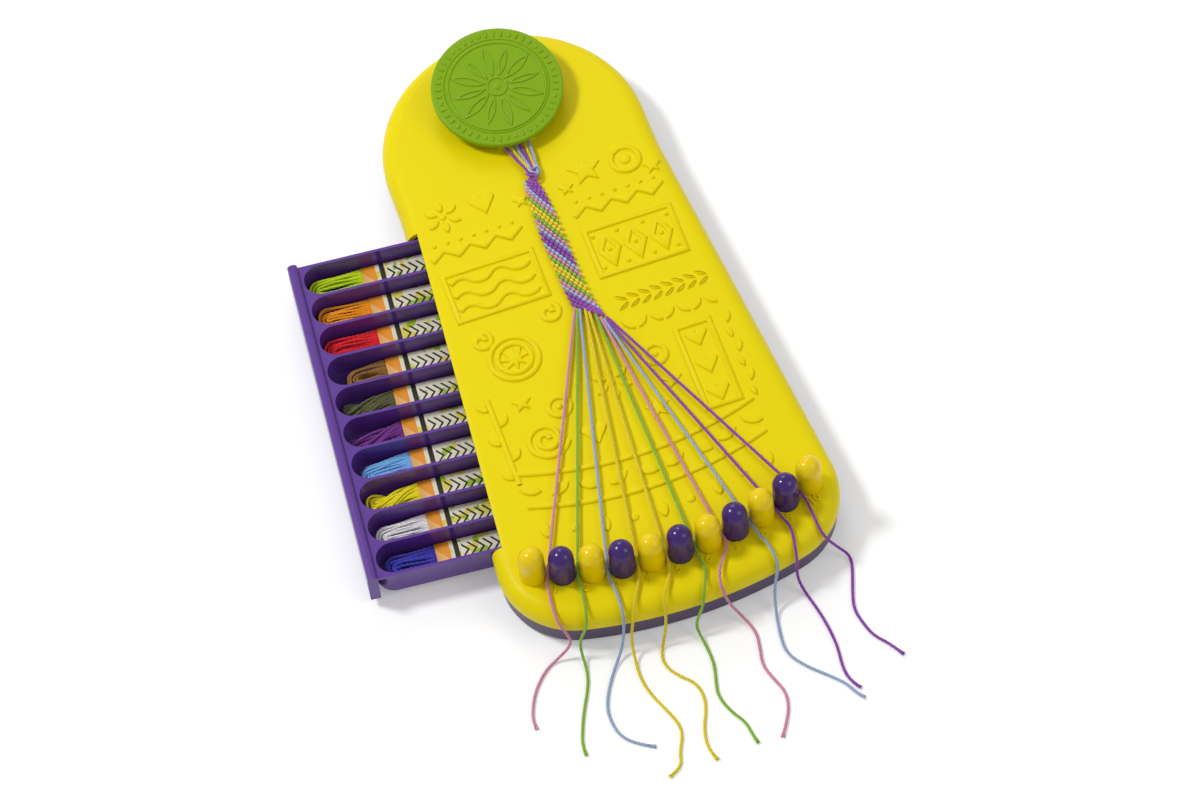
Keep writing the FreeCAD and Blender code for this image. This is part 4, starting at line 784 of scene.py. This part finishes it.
# each motif: its place, then its reach
flowers = [(-14.3, 22, 2.8), (0, -13.4, 3)]
hearts = [(-8, 22.3, 2), (-5, -20.7, 1.9), (14, -20.4, 1.7), (14, -15.5, 1.7), (14, -10.6, 1.7)]
rings = [(-12, -4.7, 4), (-12, -4.7, 2.9), (14.2, 22, 2.5), (-8.5, -14.7, 2), (7.4, -11.3, 2)]
stars = [(8, 22.3, 2.6, 5), (-12, -4.7, 2.1, 8), (4.8, -20, 1.9, 5), (-13.4, -12.3, 1.5, 5),
         (8.4, -16.3, 1.5, 5), (17.6, 19.5, 1.4, 5), (-2.6, 20.6, 1.2, 5), (4.4, 20.2, 1.2, 5)]  # points last
bosses = [(14.2, 22, 2.6 * mm), (-8.5, -14.7, 1.5 * mm), (7.4, -11.3, 1.5 * mm)]
spirals = [(-12, -19.3, 3.2, 700), (-15.6, -0.4, 1.6, 420), (-4.8, 0.8, 1.7, 420)]  # degrees wound last
spiralCore = 0.5
frames = [(-18, -3.5, 3.5, 12.5), (4, 18, 3.5, 12.5), (11, 17, -23, -8)]  # sides, then ends
diamonds = {"places": [(7, 8), (11, 8), (15, 8)], "half": 1.4, "halfLong": 2.52, "dot": 1.1 * mm}
frameDots = {"places": [(x, y) for x in (5.3, 9, 13, 16.7) for y in (5.2, 10.8)], "dot": 1.0 * mm}
waves = {"starts": [(-16.8, 5.6), (-16.8, 8), (-16.8, 10.4)], "arcs": 4, "span": 3, "radius": 2}
zigzags = {"starts": [(-18, 15), (4, 15)], "points": 8, "span": 2, "rise": 1.5, "dotRise": 2.5,
           "dot": 0.9 * mm}
stem = [(-18, -25), (-18, -10)]
stemShare = 0.9  # lower than the other ridges
# rows of leaves: foot and tip of two leaves, the step from pair to pair, how many leaves, bulge
leafRows = [
    (((-18.45, -24), (-19.9, -22.3)), ((-17.55, -21), (-16.1, -19.3)), (0, 6), 5, 1.4),
    (((18.9, -23), (18.5, -21)), ((18.9, -20.4), (19.7, -18.4)), (0, 5.2), 6, 1.5),
    (((5, -2.5), (6.6, -1.55)), ((5, -0.1), (6.6, -1.05)), (1.75, 0), 16, 1.7),
    (((4.6, -4.6), (6.2, -6.2)), ((6.7, -6.2), (8.3, -4.6)), (4.2, 0), 7, 1.6),
]
# two ribs that follow the arc of the pegs, leaves between them, and dots and petals nearer the pegs
garland = {
    "arc": 166.3 * mm, "row": -130.5 * mm, "pitch": 12.8 * mm, "ribTurn": 19,
    "upper": 52 * mm, "lower": 35 * mm, "near": 23 * mm,
    "leaf": (4.4 * mm, 2 * mm), "leafBulge": 6 * mm,
    "petal": Vector((0, 4.2 * mm)), "petalBulge": 5 * mm, "dot": 2.1 * mm,
}


def spot(x, y):
    return Vector((x, y)) * module


def around(x, y, reach, angle):
    turn = math.radians(angle)
    return spot(x + reach * math.cos(turn), y + reach * math.sin(turn))


def overPegs(turn, ahead):
    arc = garland["arc"]
    return Vector((arc * math.sin(turn), garland["row"] + ahead + arc * (1 - math.cos(turn))))


# an arc without its last point; a radius below 0 bends it the other way
def arcBetween(start, end, radius, count=9):
    chord = end - start
    side = Vector((chord.y, -chord.x)).normalized() * math.copysign(1, radius)
    centre = (start + end) / 2 - side * math.sqrt(max(radius ** 2 - chord.length_squared / 4, 0))
    first, last = (math.atan2(p.y - centre.y, p.x - centre.x) for p in (start, end))
    sweep = (last - first) % math.tau if radius > 0 else -((first - last) % math.tau)
    turns = [first + sweep * k / count for k in range(count)]
    return [centre + Vector((math.cos(turn), math.sin(turn))) * abs(radius) for turn in turns]


def lensOutline(start, end, bulge):
    return arcBetween(start, end, bulge) + arcBetween(end, start, bulge)


def heartOutline(x, y, reach):
    right, middle, left = (spot(x + reach * k, y + 0.3 * reach) for k in (1, 0, -1))
    lobe = reach * module / 2
    return [spot(x, y - reach)] + arcBetween(right, middle, lobe) + arcBetween(middle, left, lobe) + [left]


def starOutline(x, y, reach, count, inner=0.45):
    return [around(x, y, reach * (1, inner)[k % 2], 90 + k * 180 / count) for k in range(2 * count)]


def circleLine(x, y, reach, count=40):
    return [around(x, y, reach, 360 * k / count) for k in range(count)]


# the way to the left of the line at each point, longer at a corner
def sideways(points, closed):
    before = [points[-1] if closed else 2 * points[0] - points[1]] + points[:-1]
    after = points[1:] + [points[0] if closed else 2 * points[-1] - points[-2]]
    made = []
    for a, point, b in zip(before, points, after):
        into, out = (point - a).normalized(), (b - point).normalized()
        normal = Vector((-into.y - out.y, into.x + out.x)).normalized()
        made.append(normal / max(normal.dot(Vector((-into.y, into.x))), 0.45))
    return made


class Carving:
    def __init__(self, half, high):
        self.work = bmesh.new()
        self.half = half
        self.high = high

    def ridge(self, points, closed=True, share=1.0):
        high = self.high * share
        section = [(-1.0, -relief["sunk"]), (-0.9, 0.55 * high), (-0.6, high), (0.6, high),
                   (0.9, 0.55 * high), (1.0, -relief["sunk"])]
        rows = []
        for point, side in zip(points, sideways(points, closed)):
            rows.append([self.work.verts.new((*(point + side * (self.half * across)), rise))
                         for across, rise in section])
        for near, far in zip(rows, rows[1:] + rows[:1] if closed else rows[1:]):
            for k in range(len(section) - 1):
                self.work.faces.new((near[k], far[k], far[k + 1], near[k + 1]))
        if not closed:
            self.work.faces.new(rows[0])
            self.work.faces.new(rows[-1][::-1])

    def plate(self, outline):
        inside = sideways(outline, True)
        levels = []
        for inset, rise in ((-0.3, -relief["sunk"]), (-0.1, 0.5 * self.high), (0.6, 0.95 * self.high),
                            (1.0, self.high)):
            levels.append([self.work.verts.new((*(point + side * (relief["slope"] * inset)), rise))
                           for point, side in zip(outline, inside)])
        for outer, inner in zip(levels, levels[1:]):
            for k in range(len(outline)):
                after = (k + 1) % len(outline)
                self.work.faces.new((outer[k], outer[after], inner[after], inner[k]))
        self.work.faces.new(levels[-1])

    def dot(self, place, reach):
        shape = Matrix.Translation((*place, 0)) @ Matrix.Diagonal((reach, reach, self.high, 1))
        bmesh.ops.create_uvsphere(self.work, u_segments=16, v_segments=8, radius=1, matrix=shape)

    def fit(self, name, material, body, place):
        bmesh.ops.transform(self.work, matrix=place, verts=self.work.verts)
        piece = addPiece(meshFrom(self.work), name, [material], body)
        piece.data.set_sharp_from_angle(angle=math.radians(60))


def carveHead(carving):
    for x, y, reach in flowers:
        for angle in range(30, 390, 60):
            carving.plate(lensOutline(around(x, y, 0.3 * reach, angle), around(x, y, reach, angle),
                                      0.44 * reach * module))
        carving.dot(spot(x, y), 0.2 * reach * module)
    for x, y, reach in hearts:
        carving.plate(heartOutline(x, y, reach))
    for x, y, reach, count in stars:
        carving.plate(starOutline(x, y, reach, count))
    for x, y, reach in rings:
        carving.ridge(circleLine(x, y, reach - relief["half"] / module))
    for x, y, radius in bosses:
        carving.dot(spot(x, y), radius)
    for x, y, reach, turn in spirals:
        line = [around(x, y, spiralCore + (reach - spiralCore) * k / 50, turn * k / 50) for k in range(51)]
        carving.ridge(line, closed=False)


def carvePanels(carving):
    inset = relief["half"] / module
    for x0, x1, y0, y1 in frames:
        x0, x1, y0, y1 = x0 + inset, x1 - inset, y0 + inset, y1 - inset
        carving.ridge([spot(x0, y0), spot(x1, y0), spot(x1, y1), spot(x0, y1)])
    for x, y in diamonds["places"]:
        half, halfLong = diamonds["half"], diamonds["halfLong"]
        carving.ridge([spot(x - half, y), spot(x, y - halfLong), spot(x + half, y), spot(x, y + halfLong)])
        carving.dot(spot(x, y), diamonds["dot"])
    for x, y in frameDots["places"]:
        carving.dot(spot(x, y), frameDots["dot"])
    for x, y in waves["starts"]:
        crossings = [spot(x + waves["span"] * k, y) for k in range(waves["arcs"] + 1)]
        line = []
        for k, (start, end) in enumerate(zip(crossings, crossings[1:])):
            line += arcBetween(start, end, waves["radius"] * module * (1 if k % 2 else -1))
        carving.ridge(line + [crossings[-1]], closed=False)
    for x, y in zigzags["starts"]:
        span, count = zigzags["span"], zigzags["points"]
        line = [spot(x + span * k, y + zigzags["rise"] * (k % 2)) for k in range(count)]
        carving.ridge(line, closed=False)
        for k in range(count - 1):
            carving.dot(spot(x + span * (k + 0.5), y + zigzags["dotRise"]), zigzags["dot"])


def carveLeaves(carving):
    carving.ridge([spot(*end) for end in stem], closed=False, share=stemShare)
    for first, second, step, count, bulge in leafRows:
        for k in range(count):
            moved = Vector(step) * (k // 2)
            foot, tip = (spot(*(Vector(end) + moved)) for end in (first, second)[k % 2])
            carving.plate(lensOutline(foot, tip, bulge * module))


def carveGarlands(carving):
    turn = math.radians(garland["ribTurn"])
    for ahead in (garland["upper"], garland["lower"]):
        carving.ridge([overPegs(turn * (k / 20 - 1), ahead) for k in range(41)], closed=False)
    for k in range(-4, 5):
        here = k * garland["pitch"] / garland["arc"]
        across, along = garland["leaf"]
        middle = overPegs(here, 0.5 * (garland["upper"] + garland["lower"]))
        reach = Vector((across, along if k % 2 else -along))
        carving.plate(lensOutline(middle - reach, middle + reach, garland["leafBulge"]))
        middle = overPegs(here, garland["near"])
        if k % 2:
            carving.dot(middle, garland["dot"])
        else:
            foot, tip = middle - garland["petal"], middle + garland["petal"]
            carving.plate(lensOutline(foot, tip, garland["petalBulge"]))


board = Carving(relief["half"], relief["high"])
for carve in (carveHead, carvePanels, carveLeaves, carveGarlands):
    carve(board)
board.fit("boardRelief", yellowShell, "root", Matrix.Translation((0, 0, relief["level"])))
print("board decorated")


# the disc's face: a rosette inside two rings of marks
disc = {
    "tilt": 5.9, "ahead": 6.4 * mm, "above": 6.4 * mm, "half": 0.55 * mm, "high": 0.45 * mm,
    "petals": 12, "petalFoot": 6.2 * mm, "petalTips": (18.6 * mm, 20.2 * mm), "petalBulge": 15 * mm,
    "marks": 48, "markEnds": (25.1 * mm, 27.3 * mm), "dotReach": 26.2 * mm, "dot": 1.2 * mm,
    "rings": [(21.9 * mm, 60), (4.4 * mm, 30)], "boss": 1.9 * mm,  # rings: radius, corners
}


def polar(reach, angle):
    turn = math.radians(angle)
    return Vector((math.cos(turn), math.sin(turn))) * reach


def carveDisc(carving):
    for k in range(disc["petals"]):
        angle = 360 * k / disc["petals"]
        foot, tip = polar(disc["petalFoot"], angle), polar(disc["petalTips"][k % 2], angle)
        carving.ridge(lensOutline(foot, tip, disc["petalBulge"]))
    for k in range(disc["marks"]):
        angle = 360 * k / disc["marks"]
        if k % 4 == 0:
            carving.dot(polar(disc["dotReach"], angle), disc["dot"])
        else:
            carving.ridge([polar(reach, angle) for reach in disc["markEnds"]], closed=False)
    for radius, corners in disc["rings"]:
        carving.ridge([polar(radius, 360 * k / corners) for k in range(corners)])
    carving.dot(Vector((0, 0)), disc["boss"])


pin = Vector(joints["clip_press"]["pos_m"])
discPlace = (Matrix.Translation(pin) @ Matrix.Rotation(math.radians(disc["tilt"]), 4, "X")
             @ Matrix.Translation((0, disc["ahead"], disc["above"])))
discFace = Carving(disc["half"], disc["high"])
carveDisc(discFace)
discFace.fit("discRelief", greenDisc, "clip", discPlace)
print("disc decorated")


# raised numbers in front of the slots
numbers = {"size": 5.4 * mm, "high": 0.7 * mm, "bevel": 0.1 * mm, "arc": 173.7 * mm, "centre": 35.8 * mm,
           "pitch": 4.41, "aside": 3.3 * mm}


def addNumbers():
    work = bmesh.new()
    for k in range(1, 11):
        data = bpy.data.curves.new("number", "FONT")
        data.body = str(k)
        data.size = numbers["size"]
        data.extrude = numbers["high"] / 2
        data.bevel_depth = numbers["bevel"]
        data.offset = numbers["bevel"]
        data.align_x, data.align_y = "CENTER", "CENTER"
        mesh = bakeCurve(data)
        turn = math.radians((k - 5.5) * numbers["pitch"])
        place = Vector((numbers["arc"] * math.sin(turn), numbers["centre"] - numbers["arc"] * math.cos(turn),
                        relief["level"] + numbers["high"] / 2 - numbers["bevel"]))
        mesh.transform(Matrix.Translation(place) @ Matrix.Rotation(turn, 4, "Z")
                       @ Matrix.Translation((numbers["aside"], 0, 0)))
        work.from_mesh(mesh)
        bpy.data.meshes.remove(mesh)
    addPiece(meshFrom(work), "slotNumbers", [yellowShell], "root", smooth=False)


addNumbers()
print("slots numbered")


# the camera looks down at the board from its left front corner
camera = {
    "azimuth": -13.12, "elevation": 59.59, "roll": -6.68,  # degrees
    "target": Vector((-0.00787, -0.0471, 0.023)),
    "distance": 2.5529,
    "lens": 177.17, "sensor": 36.0,
}


def addCamera():
    azimuth, elevation, roll = (math.radians(camera[k]) for k in ("azimuth", "elevation", "roll"))
    back = Vector((math.sin(azimuth) * math.cos(elevation),
                   -math.cos(azimuth) * math.cos(elevation), math.sin(elevation)))
    level = up.cross(back).normalized()
    upright = back.cross(level)
    right = math.cos(roll) * level + math.sin(roll) * upright
    top = -math.sin(roll) * level + math.cos(roll) * upright
    data = bpy.data.cameras.new("camera")
    data.lens, data.sensor_width = camera["lens"], camera["sensor"]
    data.clip_start, data.clip_end = 0.1, 20
    item = bpy.data.objects.new("camera", data)
    place = Matrix((right, top, back)).transposed().to_4x4()
    place.translation = camera["target"] + back * camera["distance"]
    item.matrix_world = place
    collection.objects.link(item)
    bpy.context.scene.camera = item


addCamera()
print("camera set")


# floor, lamps and background
stage = {"floor": 3.0, "world": 0.4, "lift": (0.2, 0.2, 0.2, 1)}
lamps = {  # place, size and power
    "keyLamp": ((-0.9, 0.5, 1.5), 0.36, 15.9),
    "fillLamp": ((1.2, -0.9, 1.4), 1.1, 6.1),
    "rimLamp": ((0.2, 1.4, 1.1), 0.8, 5.2),
}


# every lamp points at the origin
def addLamp(name, place, size, power):
    data = bpy.data.lights.new(name, "AREA")
    data.shape = "DISK"
    data.size, data.energy = size, power
    item = bpy.data.objects.new(name, data)
    item.location = place
    item.rotation_mode = "QUATERNION"
    item.rotation_quaternion = (-Vector(place)).to_track_quat("-Z", "Y")
    collection.objects.link(item)


def setFloor():
    work = bmesh.new()
    bmesh.ops.create_grid(work, x_segments=1, y_segments=1, size=stage["floor"])
    floor = bpy.data.objects.new("floor", meshFrom(work))
    collection.objects.link(floor)
    made = Finish("paleFloor", Base_Color=(0.93, 0.93, 0.93, 1), Roughness=0.9, Specular_IOR_Level=0.1,
                  Emission_Strength=1.0)
    made.set("Emission Color", made.mix(made.seenShare(), (0, 0, 0, 1), stage["lift"]))
    floor.data.materials.append(made.material)


def setWorld():
    world = bpy.data.worlds.new("studio")
    world.use_nodes = True
    bpy.context.scene.world = world
    sky = Network(world.node_tree)
    shade = sky.tree.nodes["Background"]
    shade.inputs["Color"].default_value = (1, 1, 1, 1)
    shade.inputs["Strength"].default_value = stage["world"]
    bright = sky.node("ShaderNodeBackground", {}, {"Strength": 1.0})
    dim = Socket(sky, shade.outputs[0])
    both = sky.node("ShaderNodeMixShader", {}, {0: sky.seenShare(), 1: dim, 2: bright})
    sky.feed(sky.tree.nodes["World Output"].inputs["Surface"], both)


setFloor()
setWorld()
for name, (place, size, power) in lamps.items():
    addLamp(name, place, size, power)
bpy.context.scene.view_settings.view_transform = "Standard"
print("stage set")
